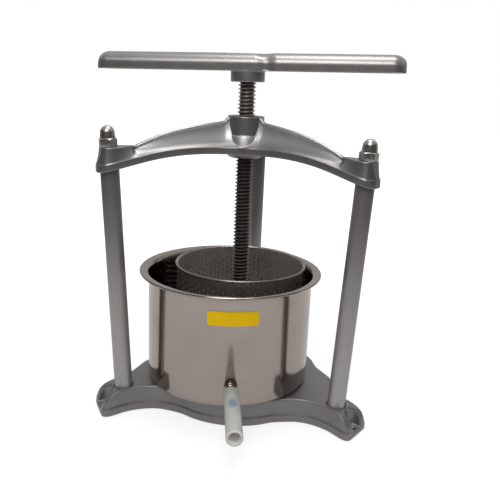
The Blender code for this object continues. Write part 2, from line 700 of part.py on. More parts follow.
def make_rod_set(side, place, finish):
    """Tie rod, with its washer and nut in the foot's counterbore."""
    floor = COUNTERBORE_DEPTH - BASE_HEIGHT
    washer_top = floor - SEAT_GAP
    nut_top = washer_top - WASHER_THICKNESS - SEAT_GAP
    rod_low = nut_top - BASE_NUT_HEIGHT - ROD_END_BELOW_NUT
    rod_high = SEAT_ALONG_PILLAR + SEAT_GAP + DOME_BORE_DEPTH - SEAT_GAP
    bore = ROD_RADIUS + ROD_CLEARANCE
    cylinder("tie_rod_" + side, ROD_RADIUS, rod_low, rod_high, SMALL_SEGMENTS, place, finish)
    low = washer_top - WASHER_THICKNESS
    washer = [(bore, low), (WASHER_RADIUS, low), (WASHER_RADIUS, washer_top), (bore, washer_top)]
    mesh_object("base_washer_" + side, *turned(washer, SMALL_SEGMENTS), finish, place)
    nut = hex_nut_profile(bore, NUT_FLAT_WIDTH, nut_top - BASE_NUT_HEIGHT, BASE_NUT_HEIGHT)
    mesh_object("base_nut_" + side, *hexed(nut, NUT_FLAT_WIDTH, HEX_SEGMENTS), finish, place)


def make_posts():
    tube = material("pillar_satin", (0.42, 0.42, 0.42), 0.38, 0.6)
    nickel = material("nickel", (0.62, 0.61, 0.58), 0.2, 1.0)
    zinc = material("zinc", (0.5, 0.5, 0.5), 0.4, 1.0)
    for side, azimuth in PILLAR_AZIMUTHS.items():
        place = pillar_frame(azimuth)
        make_pillar(side, place, tube)
        make_rod_set(side, place, zinc)
        make_dome_nut(side, nickel)


# Screw thread

def thread_grid(rows, columns, low, segments):
    """Points of a helix of thread sections: each row holds (radius, offset) points one step further."""
    points = []
    for row in range(rows):
        angle = 2 * pi * row / segments
        rise = low + THREAD_PITCH * row / segments
        for radius, offset in columns:
            points.append((radius * cos(angle), radius * sin(angle), rise + offset))
    return points


def threaded(columns, low, length, segments):
    """The helical skin of a thread, whose last section reaches one pitch past its last full turn."""
    turns = int(length / THREAD_PITCH) - 1
    rows = turns * segments + 1
    width = len(columns)
    points = thread_grid(rows, columns, low, segments)
    faces = []
    for row in range(rows - 1):
        here = row * width
        ahead = here + width
        for column in range(width - 1):
            faces.append((here + column, ahead + column, ahead + column + 1, here + column + 1))
    for row in range(rows - 1 - segments):
        here = row * width + width - 1
        above = (row + segments) * width
        faces.append((here, here + width, above + width, above))
    return points, faces, rows, width


def close_thread(points, faces, rows, width, segments, ends):
    """Joins the skin's first and last turns to a ring each, and returns the two rings' first points.

    ends holds a (radius, height) for the lower and the upper ring. Each blunt end of the thread
    is a face of its own, whose foot is part of the edge of a panel beside it.
    """
    last_row = (rows - 1) * width
    top_first = (rows - 1 - segments) * width + width - 1
    first_turn = [row * width for row in range(segments + 1)]
    last_turn = [top_first + row * width for row in range(segments + 1)]
    low_ring = add_ring(points, *ends[0], segments, 0)
    high_ring = add_ring(points, *ends[1], segments, (rows - 1) % segments)
    for step in range(segments):
        after = (step + 1) % segments
        low = [low_ring + step, low_ring + after, first_turn[step + 1], first_turn[step]]
        if after == 0:
            low[2:2] = [0, width - 1]
        high = [high_ring + step, high_ring + after, last_turn[step + 1], last_turn[step]]
        if step == 0:
            high += [last_row, last_row + width - 1]
        faces.append(tuple(low))
        faces.append(tuple(high))
    faces.append(tuple(range(width)))
    faces.append(tuple(range(last_row, last_row + width)))
    return low_ring, high_ring


def add_ring(points, radius, height, segments, turned_by):
    """Adds a level ring of points, turned by some steps, and returns its first point's number."""
    first = len(points)
    for step in range(segments):
        angle = 2 * pi * (step + turned_by) / segments
        points.append((radius * cos(angle), radius * sin(angle), height))
    return first


def thread_columns(valley, ridge, start, flank, ridge_flat):
    """Thread section over one pitch as (radius, offset): up a flank, along the ridge and down again."""
    return [(valley, start), (ridge, start + flank), (ridge, start + flank + ridge_flat),
            (valley, start + flank + ridge_flat + flank)]


def make_screw():
    """Thread between two plain ends; the lower one has a hole for the retaining bolt."""
    count = THREAD_SEGMENTS
    columns = thread_columns(THREAD_ROOT, THREAD_RADIUS, 0, THREAD_FLANK, THREAD_FLAT)
    low = SHOULDER + THREAD_RUNOUT
    usable = THREAD_LENGTH - THREAD_RUNOUT - THREAD_RUNOUT
    points, faces, rows, width = threaded(columns, low, usable, count)
    ends = ((THREAD_ROOT, SHOULDER), (THREAD_ROOT, THREAD_TOP))
    first, last = close_thread(points, faces, rows, width, count, ends)
    hole_end = SPIGOT_END + SPIGOT_HOLE_DEPTH
    below = [(SPIGOT_RADIUS, SHOULDER), (SPIGOT_RADIUS, SPIGOT_END), (SPIGOT_HOLE_RADIUS, SPIGOT_END),
             (SPIGOT_HOLE_RADIUS, hole_end)]
    above = [(TOP_SPIGOT_RADIUS, THREAD_TOP), (TOP_SPIGOT_RADIUS, THREAD_TOP + TOP_SPIGOT_LENGTH)]
    add_rings(points, faces, first, count, below)
    add_rings(points, faces, last, count, above)
    steel = material("screw_steel", (0.45, 0.44, 0.43), 0.3, 1.0)
    mesh_object("screw", points, faces, steel)


def add_rings(points, faces, ring, count, profile):
    """Continues a skin from a ring of points through (radius, height) rings to a flat end."""
    directions = [Vector(points[ring + step][:2]).normalized() for step in range(count)]
    for radius, height in profile:
        fresh = len(points)
        for direction in directions:
            points.append((radius * direction.x, radius * direction.y, height))
        for step in range(count):
            after = (step + 1) % count
            faces.append((ring + step, ring + after, fresh + after, fresh + step))
        ring = fresh
    faces.append(tuple(range(ring, ring + count)))


def nut_thread_columns():
    """The nut's teeth, centred in the screw's grooves with the running clearances."""
    flank_slope = THREAD_FLANK / THREAD_DEPTH
    groove = THREAD_FLAT + 2 * (NUT_THREAD_CREST_RADIUS - THREAD_ROOT) * flank_slope
    tooth = groove - 2 * NUT_THREAD_AXIAL_CLEARANCE
    flank = (NUT_THREAD_ROOT_RADIUS - NUT_THREAD_CREST_RADIUS) * flank_slope
    groove_middle = THREAD_PITCH - THREAD_FLAT / 2
    start = groove_middle - tooth / 2 - flank
    return thread_columns(NUT_THREAD_ROOT_RADIUS, NUT_THREAD_CREST_RADIUS, start, flank, tooth)


def make_screw_nut():
    """A bush with an inner thread in phase with the screw's."""
    count = THREAD_SEGMENTS
    low = BOSS_BOTTOM + SCREW_NUT_INSET
    high = BOSS_TOP - SCREW_NUT_INSET
    thread_start = SHOULDER + THREAD_RUNOUT
    turns_below = int((low + THREAD_RUNOUT - thread_start) / THREAD_PITCH) + 1
    first_thread = thread_start + turns_below * THREAD_PITCH
    usable = high - THREAD_RUNOUT - first_thread
    points, faces, rows, width = threaded(nut_thread_columns(), first_thread, usable, count)
    ends = ((NUT_THREAD_ROOT_RADIUS, low), (NUT_THREAD_ROOT_RADIUS, high))
    first, last = close_thread(points, faces, rows, width, count, ends)
    outer_low = add_ring(points, SCREW_NUT_RADIUS, low, count, 0)
    outer_high = add_ring(points, SCREW_NUT_RADIUS, high, count, 0)
    shift = (rows - 1) % count
    for step in range(count):
        after = (step + 1) % count
        high_step = outer_high + (step + shift) % count
        high_after = outer_high + (after + shift) % count
        faces.append((first + step, first + after, outer_low + after, outer_low + step))
        faces.append((last + step, last + after, high_after, high_step))
        faces.append((outer_low + step, outer_low + after, outer_high + after, outer_high + step))
    bronze = material("nut_bronze", (0.5, 0.36, 0.17), 0.35, 1.0)
    mesh_object("screw_nut", points, faces, bronze)


# Handle

def handle_section(along, half_width, height):
    """A section across the bar with a crowned top."""
    wide = min(HANDLE_CROWN_WIDTH, half_width)
    tall = min(HANDLE_CROWN_HEIGHT, height)
    turns = [pi / 2 * step / BEND_STEPS for step in range(BEND_STEPS + 1)]
    right = [(half_width - wide * (1 - cos(turn)), height - tall * (1 - sin(turn))) for turn in turns]
    left = [(-across, rise) for across, rise in reversed(right)]
    flat = [(half_width, 0)] + right + left + [(-half_width, 0)]
    return [(along, across, HANDLE_BOTTOM + rise) for across, rise in flat]


def handle_sections():
    """Sections from one rounded end of the bar to the other."""
    sections = []
    for step in range(HANDLE_END_STEPS + 1):
        angle = pi / 2 * step / HANDLE_END_STEPS
        back = HANDLE_END_ROUND * (1 - sin(angle))
        narrow = HANDLE_HALF_WIDTH - HANDLE_END_ROUND * (1 - cos(angle))
        low = HANDLE_HEIGHT - HANDLE_END_DROP * (1 - cos(angle))
        sections.append((HANDLE_HALF_LENGTH - back, narrow, low))
    plain = [(HANDLE_HALF_LENGTH - HANDLE_END_ROUND - HANDLE_END_ROUND, HANDLE_HALF_WIDTH, HANDLE_HEIGHT)]
    ordered = plain + [(along, narrow, low) for along, narrow, low in sections]
    right = [handle_section(*item) for item in ordered]
    left = [handle_section(-along, narrow, low) for along, narrow, low in reversed(ordered)]
    return left + right


def box(name, low, high, place=None):
    corners = [(low[0], low[1]), (high[0], low[1]), (high[0], high[1]), (low[0], high[1])]
    sections = [[(x, y, z) for x, y in corners] for z in (low[2], high[2])]
    return mesh_object(name, *loft(sections), None, place)


def crease_cutter(place):
    """A shallow V across the crown, from the front on one side to the back on the other."""
    top = HANDLE_BOTTOM + HANDLE_HEIGHT
    half = HANDLE_CREASE_HALF_WIDTH
    over = top + CUT_OVERRUN
    spread = half * (1 + CUT_OVERRUN / HANDLE_CREASE_DEPTH)
    section = [(-spread, over), (0, top - HANDLE_CREASE_DEPTH), (spread, over)]
    reach = 2 * HANDLE_CREASE_REACH
    sections = [[(across, along, height) for across, height in section] for along in (-reach, reach)]
    turn = Matrix.Rotation(atan2(HANDLE_CREASE_REACH, HANDLE_HALF_WIDTH), 4, "Z")
    return mesh_object("crease_cutter", *loft(sections), None, place @ turn)


def make_handle():
    place = Matrix.Rotation(HANDLE_TURN, 4, "Z")
    paint = material("handle_paint", (0.38, 0.38, 0.38), 0.4, 0.4)
    handle = mesh_object("handle", *loft(handle_sections()), paint, place)
    inner = HANDLE_HALF_WIDTH - HANDLE_WALL
    outer = HANDLE_HALF_LENGTH - HANDLE_END_ROUND
    low = HANDLE_BOTTOM - CUT_OVERRUN
    high = HANDLE_BOTTOM + HANDLE_POCKET_DEPTH
    cut(handle, box("pocket_right", (HANDLE_POCKET_INNER, -inner, low), (outer, inner, high), place))
    cut(handle, box("pocket_left", (-outer, -inner, low), (-HANDLE_POCKET_INNER, inner, high), place))
    hub_top = HANDLE_BOTTOM + HANDLE_HUB_SINK
    hub = [(0, HUB_BOTTOM), (HANDLE_HUB_RADIUS - BOSS_EDGE, HUB_BOTTOM),
           (HANDLE_HUB_RADIUS, HUB_BOTTOM + BOSS_EDGE), (HANDLE_HUB_RADIUS, HANDLE_BOTTOM),
           (HANDLE_HUB_RADIUS - BOSS_EDGE, hub_top), (0, hub_top)]
    join(handle, mesh_object("handle_hub", *turned(hub, ROUND_SEGMENTS), None, place))
    cut(handle, crease_cutter(place))
    bore = TOP_SPIGOT_RADIUS + SPIGOT_CLEARANCE
    bore_top = THREAD_TOP + TOP_SPIGOT_LENGTH + SEAT_GAP
    cut(handle, cylinder("hub_bore_cutter", bore, HUB_BOTTOM - CUT_OVERRUN, bore_top, ROUND_SEGMENTS, place))
    hole = SET_SCREW_RADIUS + SPIGOT_CLEARANCE
    hole_end = HANDLE_HUB_RADIUS + CUT_OVERRUN
    cut(handle, cylinder("set_screw_cutter", hole, 0, hole_end, SMALL_SEGMENTS, set_screw_place()))
    make_set_screw()


def set_screw_place():
    """The set screw's axis runs from the hub's middle to its back."""
    lift = Matrix.Translation((0, 0, HUB_BOTTOM + SET_SCREW_HEIGHT))
    return Matrix.Rotation(HANDLE_TURN, 4, "Z") @ lift @ Matrix.Rotation(-pi / 2, 4, "X")


def make_set_screw():
    start = TOP_SPIGOT_RADIUS + SEAT_GAP
    end = start + SET_SCREW_LENGTH
    floor = end - SET_SCREW_SOCKET_DEPTH
    profile = [(0, start), (SET_SCREW_RADIUS, start), (SET_SCREW_RADIUS, end), (SET_SCREW_SOCKET_RADIUS, end),
               (SET_SCREW_SOCKET_RADIUS, floor), (0, floor)]
    steel = material("set_screw_steel", (0.12, 0.12, 0.12), 0.4, 1.0)
    mesh_object("handle_set_screw", *turned(profile, SMALL_SEGMENTS), steel, set_screw_place())


# Press plate

def make_press_plate():
    bore = SPIGOT_RADIUS + SPIGOT_CLEARANCE
    top = PLATE_BOTTOM + PLATE_THICKNESS
    fillet_centre = (PLATE_HUB_RADIUS + PLATE_HUB_FILLET, top + PLATE_HUB_FILLET)
    fillet = arc(fillet_centre, PLATE_HUB_FILLET, 3 * pi / 2, pi, BEND_STEPS)
    rim = arc((PLATE_RADIUS - PLATE_EDGE_ROUND, top - PLATE_EDGE_ROUND), PLATE_EDGE_ROUND, 0, pi / 2, 2)
    profile = [(PLATE_RECESS_RADIUS, PLATE_BOTTOM), (PLATE_RADIUS - PLATE_EDGE_ROUND, PLATE_BOTTOM),
               (PLATE_RADIUS, PLATE_BOTTOM + PLATE_EDGE_ROUND)]
    profile += rim + fillet
    profile += [(PLATE_HUB_RADIUS, PLATE_HUB_TOP - PLATE_EDGE_ROUND),
                (PLATE_HUB_RADIUS - PLATE_EDGE_ROUND, PLATE_HUB_TOP), (bore, PLATE_HUB_TOP),
                (bore, RECESS_FLOOR), (PLATE_RECESS_RADIUS, RECESS_FLOOR)]
    steel = material("plate_steel", (0.6, 0.6, 0.6), 0.3, 1.0)
    mesh_object("press_plate", *turned(profile, PLATE_SEGMENTS), steel)


def make_plate_fasteners():
    bore = SPIGOT_RADIUS + SPIGOT_CLEARANCE
    steel = material("fastener_steel", (0.5, 0.5, 0.5), 0.35, 1.0)
    low = PLATE_HUB_TOP + SEAT_GAP
    high = low + THRUST_WASHER_THICKNESS
    washer = [(bore, low), (THRUST_WASHER_RADIUS, low), (THRUST_WASHER_RADIUS, high), (bore, high)]
    mesh_object("thrust_washer", *turned(washer, ROUND_SEGMENTS), steel)
    bolt_bore = BOLT_RADIUS + SPIGOT_CLEARANCE
    low = WASHER_TOP - RETAINING_WASHER_THICKNESS
    washer = [(bolt_bore, low), (RETAINING_WASHER_RADIUS, low), (RETAINING_WASHER_RADIUS, WASHER_TOP),
              (bolt_bore, WASHER_TOP)]
    mesh_object("retaining_washer", *turned(washer, ROUND_SEGMENTS), steel)
    make_retaining_bolt(steel)


def make_retaining_bolt(steel):
    """A hexagon bolt: the head's rings first, then the shank's."""
    head_low = BOLT_HEAD_TOP - BOLT_HEAD_HEIGHT
    shank_top = BOLT_HEAD_TOP + BOLT_LENGTH
    corner = BOLT_FLAT_WIDTH / sqrt(3)
    face = corner - NUT_CHAMFER
    rings = ((face, head_low, True), (corner, head_low + NUT_CHAMFER / 2, True),
             (corner, BOLT_HEAD_TOP, True), (BOLT_RADIUS, BOLT_HEAD_TOP, False),
             (BOLT_RADIUS, shank_top, False))
    points, faces = hexed(rings, BOLT_FLAT_WIDTH, HEX_SEGMENTS)
    faces = faces[:-HEX_SEGMENTS]
    faces.append(tuple(range(HEX_SEGMENTS)))
    faces.append(tuple(range(len(points) - HEX_SEGMENTS, len(points))))
    mesh_object("retaining_bolt", points, faces, steel)


# Vessels

def pot_profile():
    """Outside from the floor's middle up to the rolled rim, then down the inside."""
    rim_top = POT_TOP
    bead = POT_BEAD_RADIUS
    bead_centre = (POT_RIM_RADIUS - bead, rim_top - bead)
    flange_under = rim_top - bead - POT_SHEET / 2
    cove_foot = rim_top - POT_COVE_HEIGHT
    cove_width = POT_LIP_RADIUS - POT_RADIUS
    outer_corner = (POT_RADIUS - POT_CORNER_RADIUS, POT_FLOOR + POT_CORNER_RADIUS)
    profile = [(0, POT_FLOOR)]
    profile += arc(outer_corner, POT_CORNER_RADIUS, -pi / 2, 0, BEND_STEPS)
    profile += [(POT_RADIUS, cove_foot)]
    for step in range(1, BEND_STEPS + 1):
        angle = pi / 2 * step / BEND_STEPS
        rise = (flange_under - cove_foot) * sin(angle)
        profile.append((POT_RADIUS + cove_width * (1 - cos(angle)), cove_foot + rise))
    profile += arc(bead_centre, bead, -pi / 2, pi / 2, BEND_STEPS)
    for step in range(BEND_STEPS, -1, -1):
        angle = pi / 2 * step / BEND_STEPS
        rise = (flange_under - cove_foot) * sin(angle)
        inner = POT_RADIUS + cove_width * (1 - cos(angle)) - POT_SHEET * cos(angle)
        profile.append((inner, cove_foot + rise + POT_SHEET * sin(angle)))
    inner_radius = POT_CORNER_RADIUS - POT_SHEET
    profile += reversed(arc(outer_corner, inner_radius, -pi / 2, 0, BEND_STEPS))
    profile.append((0, POT_FLOOR + POT_SHEET))
    return profile


def along_spout(start):
    """Local +Z runs out along the spout, from a distance off the pot's axis."""
    return pot_frame() @ Matrix.Translation((start, 0, SPOUT_HEIGHT)) @ Matrix.Rotation(pi / 2, 4, "Y")


def make_pot():
    steel = material("pot_steel", (0.66, 0.64, 0.61), 0.12, 1.0)
    pot = mesh_object("pot", *turned(pot_profile(), FINE_SEGMENTS), steel, pot_frame())
    hole = SPOUT_RADIUS + SEAT_GAP
    inside = POT_RADIUS - CUT_OVERRUN - CUT_OVERRUN
    length = 4 * CUT_OVERRUN
    cut(pot, cylinder("spout_hole_cutter", hole, 0, length, SMALL_SEGMENTS, along_spout(inside)))


def make_spout():
    """A pipe with a collar that seats on the pot's wall."""
    low = -SPOUT_INNER_END
    inner = SPOUT_RADIUS - SPOUT_WALL
    collar_end = SEAT_GAP + COLLAR_THICKNESS
    profile = [(inner, low), (SPOUT_RADIUS, low), (SPOUT_RADIUS, SEAT_GAP), (COLLAR_RADIUS, SEAT_GAP),
               (COLLAR_RADIUS, collar_end), (SPOUT_RADIUS, collar_end), (SPOUT_RADIUS, SPOUT_REACH),
               (inner, SPOUT_REACH)]
    steel = material("spout_steel", (0.6, 0.58, 0.55), 0.2, 1.0)
    mesh_object("spout", *turned(profile, SMALL_SEGMENTS), steel, along_spout(POT_RADIUS))


def make_hose():
    end = HOSE_START + HOSE_LENGTH
    bore = HOSE_RADIUS - HOSE_WALL
    profile = [(bore, HOSE_START), (HOSE_RADIUS - HOSE_EDGE, HOSE_START),
               (HOSE_RADIUS, HOSE_START + HOSE_EDGE), (HOSE_RADIUS, end - HOSE_EDGE),
               (HOSE_RADIUS - HOSE_EDGE, end), (bore, end)]
    milky = material("hose_silicone", (0.78, 0.8, 0.76), 0.35, 0.0)
    mesh_object("hose", *turned(profile, SMALL_SEGMENTS), milky, along_spout(POT_RADIUS))


def make_label():
    """A bent sheet whose corners between its ends stand at the pot's own corners."""
    inner = POT_RADIUS + SEAT_GAP
    outer = inner + LABEL_THICKNESS
    half_angle = LABEL_WIDTH / inner / 2
    pot_step = 2 * pi / FINE_SEGMENTS
    whole = int(half_angle / pot_step)
    angles = [-half_angle] + [pot_step * step for step in range(-whole, whole + 1)] + [half_angle]
    low = LABEL_CENTRE_HEIGHT - LABEL_HEIGHT / 2
    high = LABEL_CENTRE_HEIGHT + LABEL_HEIGHT / 2
    sections = []
    for angle in angles:
        corners = ((inner, low), (outer, low), (outer, high), (inner, high))
        sections.append([(radius * cos(angle), radius * sin(angle), height) for radius, height in corners])
    yellow = material("label_yellow", (0.86, 0.72, 0.05), 0.45, 0.0)
    mesh_object("label", *loft(sections), yellow, pot_frame())


def hole_ring(along):
    """A hole's outline, at a distance out along +X."""
    ring = []
    for side in range(BASKET_HOLE_SIDES):
        angle = 2 * pi * side / BASKET_HOLE_SIDES
        ring.append(Vector((along, BASKET_HOLE_RADIUS * cos(angle), BASKET_HOLE_RADIUS * sin(angle))))
    return ring


def basket_hole_cutters():
    """All the CAD holes as one mesh of short radial pins."""
    points = []
    faces = []
    inner = BASKET_RADIUS - BASKET_SHEET - CUT_OVERRUN
    outer = BASKET_RADIUS + CUT_OVERRUN
    span = BASKET_HEIGHT - 2 * BASKET_HOLE_MARGIN
    for row in range(BASKET_HOLE_ROWS):
        height = BASKET_BOTTOM + BASKET_HOLE_MARGIN + span * row / (BASKET_HOLE_ROWS - 1)
        for column in range(BASKET_HOLE_COLUMNS):
            angle = 2 * pi * (column + row % 2 / 2) / BASKET_HOLE_COLUMNS
            place = Matrix.Rotation(angle, 4, "Z") @ Matrix.Translation((0, 0, height))
            sections = [[place @ point for point in hole_ring(along)] for along in (inner, outer)]
            pin_points, pin_faces = loft(sections)
            faces += [tuple(len(points) + number for number in face) for face in pin_faces]
            points += pin_points
    return mesh_object("basket_hole_cutter", points, faces)


def make_basket():
    top = BASKET_BOTTOM + BASKET_HEIGHT
    inner = BASKET_RADIUS - BASKET_SHEET
    bead = BASKET_BEAD_RADIUS
    curl = arc((BASKET_RADIUS - BASKET_SHEET / 2 + bead, top - bead), bead, -3 * pi / 4, pi / 2, BEND_STEPS)
    profile = [(inner, BASKET_BOTTOM), (BASKET_RADIUS, BASKET_BOTTOM), (BASKET_RADIUS, top - 3 * bead)]
    profile += curl + [(inner, top - bead)]
    steel = material("basket_steel", (0.55, 0.5, 0.44), 0.25, 1.0)
    basket = mesh_object("basket", *turned(profile, FINE_SEGMENTS), steel)
    cut(basket, basket_hole_cutters())


def main():
    clear_scene()
    make_base()
    make_posts()
    make_crossbeam()
    make_screw()
    make_screw_nut()
    make_handle()
    make_press_plate()
    make_plate_fasteners()
    make_pot()
    make_spout()
    make_hose()
    make_label()
    make_basket()


main()
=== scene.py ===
"""Dresses the fruit press: an add-on that builds the visible pieces over the CAD frame.

Metres, +Z up. The origin is on the floor under the screw's axis, and the front is -Y.
"""

from math import asin, atan2, cos, pi, radians, sin, sqrt, tan

import bmesh
import bpy
from bpy.props import FloatProperty, FloatVectorProperty, IntProperty, PointerProperty
from mathutils import Matrix, Vector
from mathutils.geometry import intersect_point_line


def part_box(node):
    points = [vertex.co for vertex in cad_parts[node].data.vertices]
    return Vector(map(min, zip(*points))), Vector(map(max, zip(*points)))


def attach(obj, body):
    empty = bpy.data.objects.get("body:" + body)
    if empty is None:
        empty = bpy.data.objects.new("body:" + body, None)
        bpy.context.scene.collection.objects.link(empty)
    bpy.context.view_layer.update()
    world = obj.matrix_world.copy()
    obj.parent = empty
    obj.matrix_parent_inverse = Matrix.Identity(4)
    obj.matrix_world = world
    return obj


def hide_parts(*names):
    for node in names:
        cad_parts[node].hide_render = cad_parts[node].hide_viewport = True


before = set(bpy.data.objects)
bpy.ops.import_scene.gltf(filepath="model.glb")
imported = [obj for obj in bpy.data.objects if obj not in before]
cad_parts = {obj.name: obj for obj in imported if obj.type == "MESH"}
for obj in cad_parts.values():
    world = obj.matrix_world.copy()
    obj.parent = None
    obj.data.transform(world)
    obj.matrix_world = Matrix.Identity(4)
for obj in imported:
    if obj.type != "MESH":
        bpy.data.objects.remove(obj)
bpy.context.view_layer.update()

bl_info = {
    "name": "Fruit press dressing",
    "version": (1, 0, 0),
    "blender": (4, 5, 0),
    "location": "View3D > Sidebar > Fruit press",
    "description": "Builds the visible pieces of a hand-turned fruit press over its CAD frame",
    "category": "Object",
}

AZIMUTHS = {"left": radians(210), "right": radians(330), "rear": radians(90)}
SEAT_GAP = 0.0003  # between pieces that touch
OVERRUN = 0.004  # of a cutting solid past what it cuts
FOOT_SOCKET, PAD_SOCKET = 0.006, 0.008  # depths in which a post stands
LUG_INSET = 0.008
ROD_BORE = 0.0075
BOLT_BORE = 0.0043
PLATE_RECESS = 0.010
SCREW_HEAD = 0.024
HOLE_PITCH = 0.008

# Points along a foot's sides: share of the reach, share of the half-width
FOOT_FRONT_SIDE = ((0.578, 1.28), (0.627, 1.00), (0.696, 0.80), (0.775, 0.74), (0.843, 0.79),
                   (0.912, 0.95), (0.961, 1.01), (0.992, 0.90), (1.0, 0.66), (1.0, 0.0))
FOOT_WIDE_SIDE = ((1.0, 0.66), (0.992, 0.88), (0.961, 0.97), (0.912, 0.92), (0.843, 0.95),
                  (0.784, 1.22), (0.725, 1.64), (0.662, 2.16), (0.598, 2.66))
FRONT_ARC = (-60, -48, -36, -26)
SIDE_ARC = (42, 54, 66, 78)

# The crossbeam's arch: its bend, and the lengths of its flat middle and of its curve
ARCH_BEND, ARCH_FLAT, ARCH_CURVED = 0.380, 0.056, 0.085
FLANGE = 0.0095  # its thickness
PAD_POINT = 0.745  # share of an arm's reach where its pad begins

# Stations along an arm of the crossbeam: share of the reach, flange half-width, top half-width
# (both shares of the arm's half-width), share of the top's height, hollowness of the side
ARM_STATIONS = ((-0.040, 1.30, 0.16, 1.00, 0.50), (0.080, 1.30, 0.16, 1.00, 0.50),
                (0.135, 1.12, 0.16, 1.00, 0.50), (0.170, 0.98, 0.16, 1.00, 0.50),
                (0.220, 0.86, 0.16, 1.00, 0.50), (0.300, 0.77, 0.16, 1.00, 0.50),
                (0.400, 0.71, 0.16, 1.00, 0.50), (0.520, 0.68, 0.16, 1.00, 0.50),
                (0.620, 0.69, 0.16, 1.00, 0.47), (0.690, 0.73, 0.16, 1.00, 0.40),
                (0.725, 0.76, 0.16, 1.00, 0.25), (0.745, 0.78, 0.16, 1.00, 0.05),
                (0.765, 0.80, 0.24, 1.00, 0.12), (0.800, 0.84, 0.46, 1.00, 0.12),
                (0.845, 0.90, 0.66, 1.00, 0.12), (0.900, 0.93, 0.75, 1.00, 0.12),
                (0.935, 0.87, 0.66, 1.00, 0.12), (0.955, 0.74, 0.44, 1.00, 0.12),
                (0.962, 0.68, 0.36, 0.62, 0.35), (0.971, 0.57, 0.30, 0.30, 0.35),
                (0.982, 0.30, 0.18, 0.04, 0.35))


def length(description, default):
    return FloatProperty(description=description, default=default, unit="LENGTH",
                         subtype="DISTANCE", precision=5)


def rotation(description, degrees):
    return FloatProperty(description=description, default=radians(degrees), subtype="ANGLE")


def number(description, default, low, high):
    return IntProperty(description=description, default=default, min=low, max=high)


def colour(description, default):
    return FloatVectorProperty(description=description, default=default, subtype="COLOR",
                               size=3, min=0.0, max=1.0)


class FrameSizes(bpy.types.PropertyGroup):
    """Sizes of the base, the posts and the crossbeam."""

    base_height: length("Height of the base's flat top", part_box("base")[1][2])
    base_front: length("Radius of the base's front edge", 0.112)
    base_side: length("Radius of the base's other two edges", 0.123)
    base_wall: length("Thickness of the casting's outer wall and top plate", 0.008)
    base_hub: length("Radius of the hub where the ribs meet underneath", 0.016)
    band_height: length("Height of the wider band round the base's foot", 0.012)
    band_step: length("How far the band stands out", 0.0015)
    foot_reach: length("Distance from the axis to a foot's tip", 0.204)
    foot_half_width: length("Half the width of a foot", 0.025)
    lug_thickness: length("Height of the floor in a foot's open pocket", 0.0075)
    post_radius: length("Outer radius of a post", 0.012)
    post_circle: length("Distance of the posts from the axis at the base's top", 0.1690)
    post_lean: rotation("How far each post leans outward", 2.74)
    beam_height: length("Height of the crossbeam's underside at the middle", 0.351)
    pad_seat: length("Height of the flat pads under the domed nuts", 0.3598)
    arm_reach: length("Distance from the axis to an arm's tip", 0.2035)
    arm_half_width: length("Reference half-width of an arm", 0.020)
    boss_radius: length("Radius of the round boss in the middle", 0.0245)
    boss_rise: length("Height of the boss above the crossbeam's underside", 0.049)
    boss_drop: length("How far the boss hangs below the crossbeam", 0.0065)
    nut_width: length("Width of the domed nuts across their flats", 0.021)
    nut_hexagon: length("Height of a domed nut's hexagon", 0.0105)
    nut_dome: length("Height of a domed nut's dome", 0.0155)


class ScrewSizes(bpy.types.PropertyGroup):
    """Sizes of the screw, its nut, the handle and the press plate."""

    radius: length("Outer radius of the thread", 0.012)
    root: length("Radius at the bottom of the thread", 0.00925)
    pitch: length("Rise of the thread in one turn", 0.005)
    shoulder: length("Height of the thread's lower end", 0.1125)
    top: length("Height of the thread's upper end", 0.4435)
    nut_radius: length("Outer radius of the threaded bush", 0.016)
    hub_radius: length("Radius of the handle's hub", 0.0225)
    hub_bottom: length("Height of the hub's lower face", 0.4438)
    bar_bottom: length("Height of the handle bar's underside", 0.4581)
    bar_height: length("Height of the handle bar", 0.0225)
    bar_half_length: length("Half the length of the handle bar", 0.2034)
    bar_half_width: length("Half the width of the handle bar", 0.0235)
    crown_width: length("Width of one side of the bar's domed top", 0.0195)
    crown_height: length("Height of the bar's domed top", 0.014)
    end_round: length("Length of the bar's rounded ends", 0.017)
    end_drop: length("How far the crown comes down at the bar's ends", 0.011)
    bar_turn: rotation("How far the handle is turned at rest", -2.4)
    bar_tilt: rotation("How far the handle's +X end stands up on its loose hub", 1.25)
    crease_reach: length("Where the crease leaves the bar's side", 0.027)
    crease_bend: length("Where the crease turns along the crown", 0.0205)
    crease_width: length("Half the width of the crease", 0.014)
    crease_depth: length("Depth of the crease in the bar's side", 0.0026)
    plate_radius: length("Radius of the press plate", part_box("press_plate")[1][0])
    plate_bottom: length("Height of the plate's underside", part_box("press_plate")[0][2])
    thread_steps: number("Faces round one turn of the thread", 40, 16, 96)


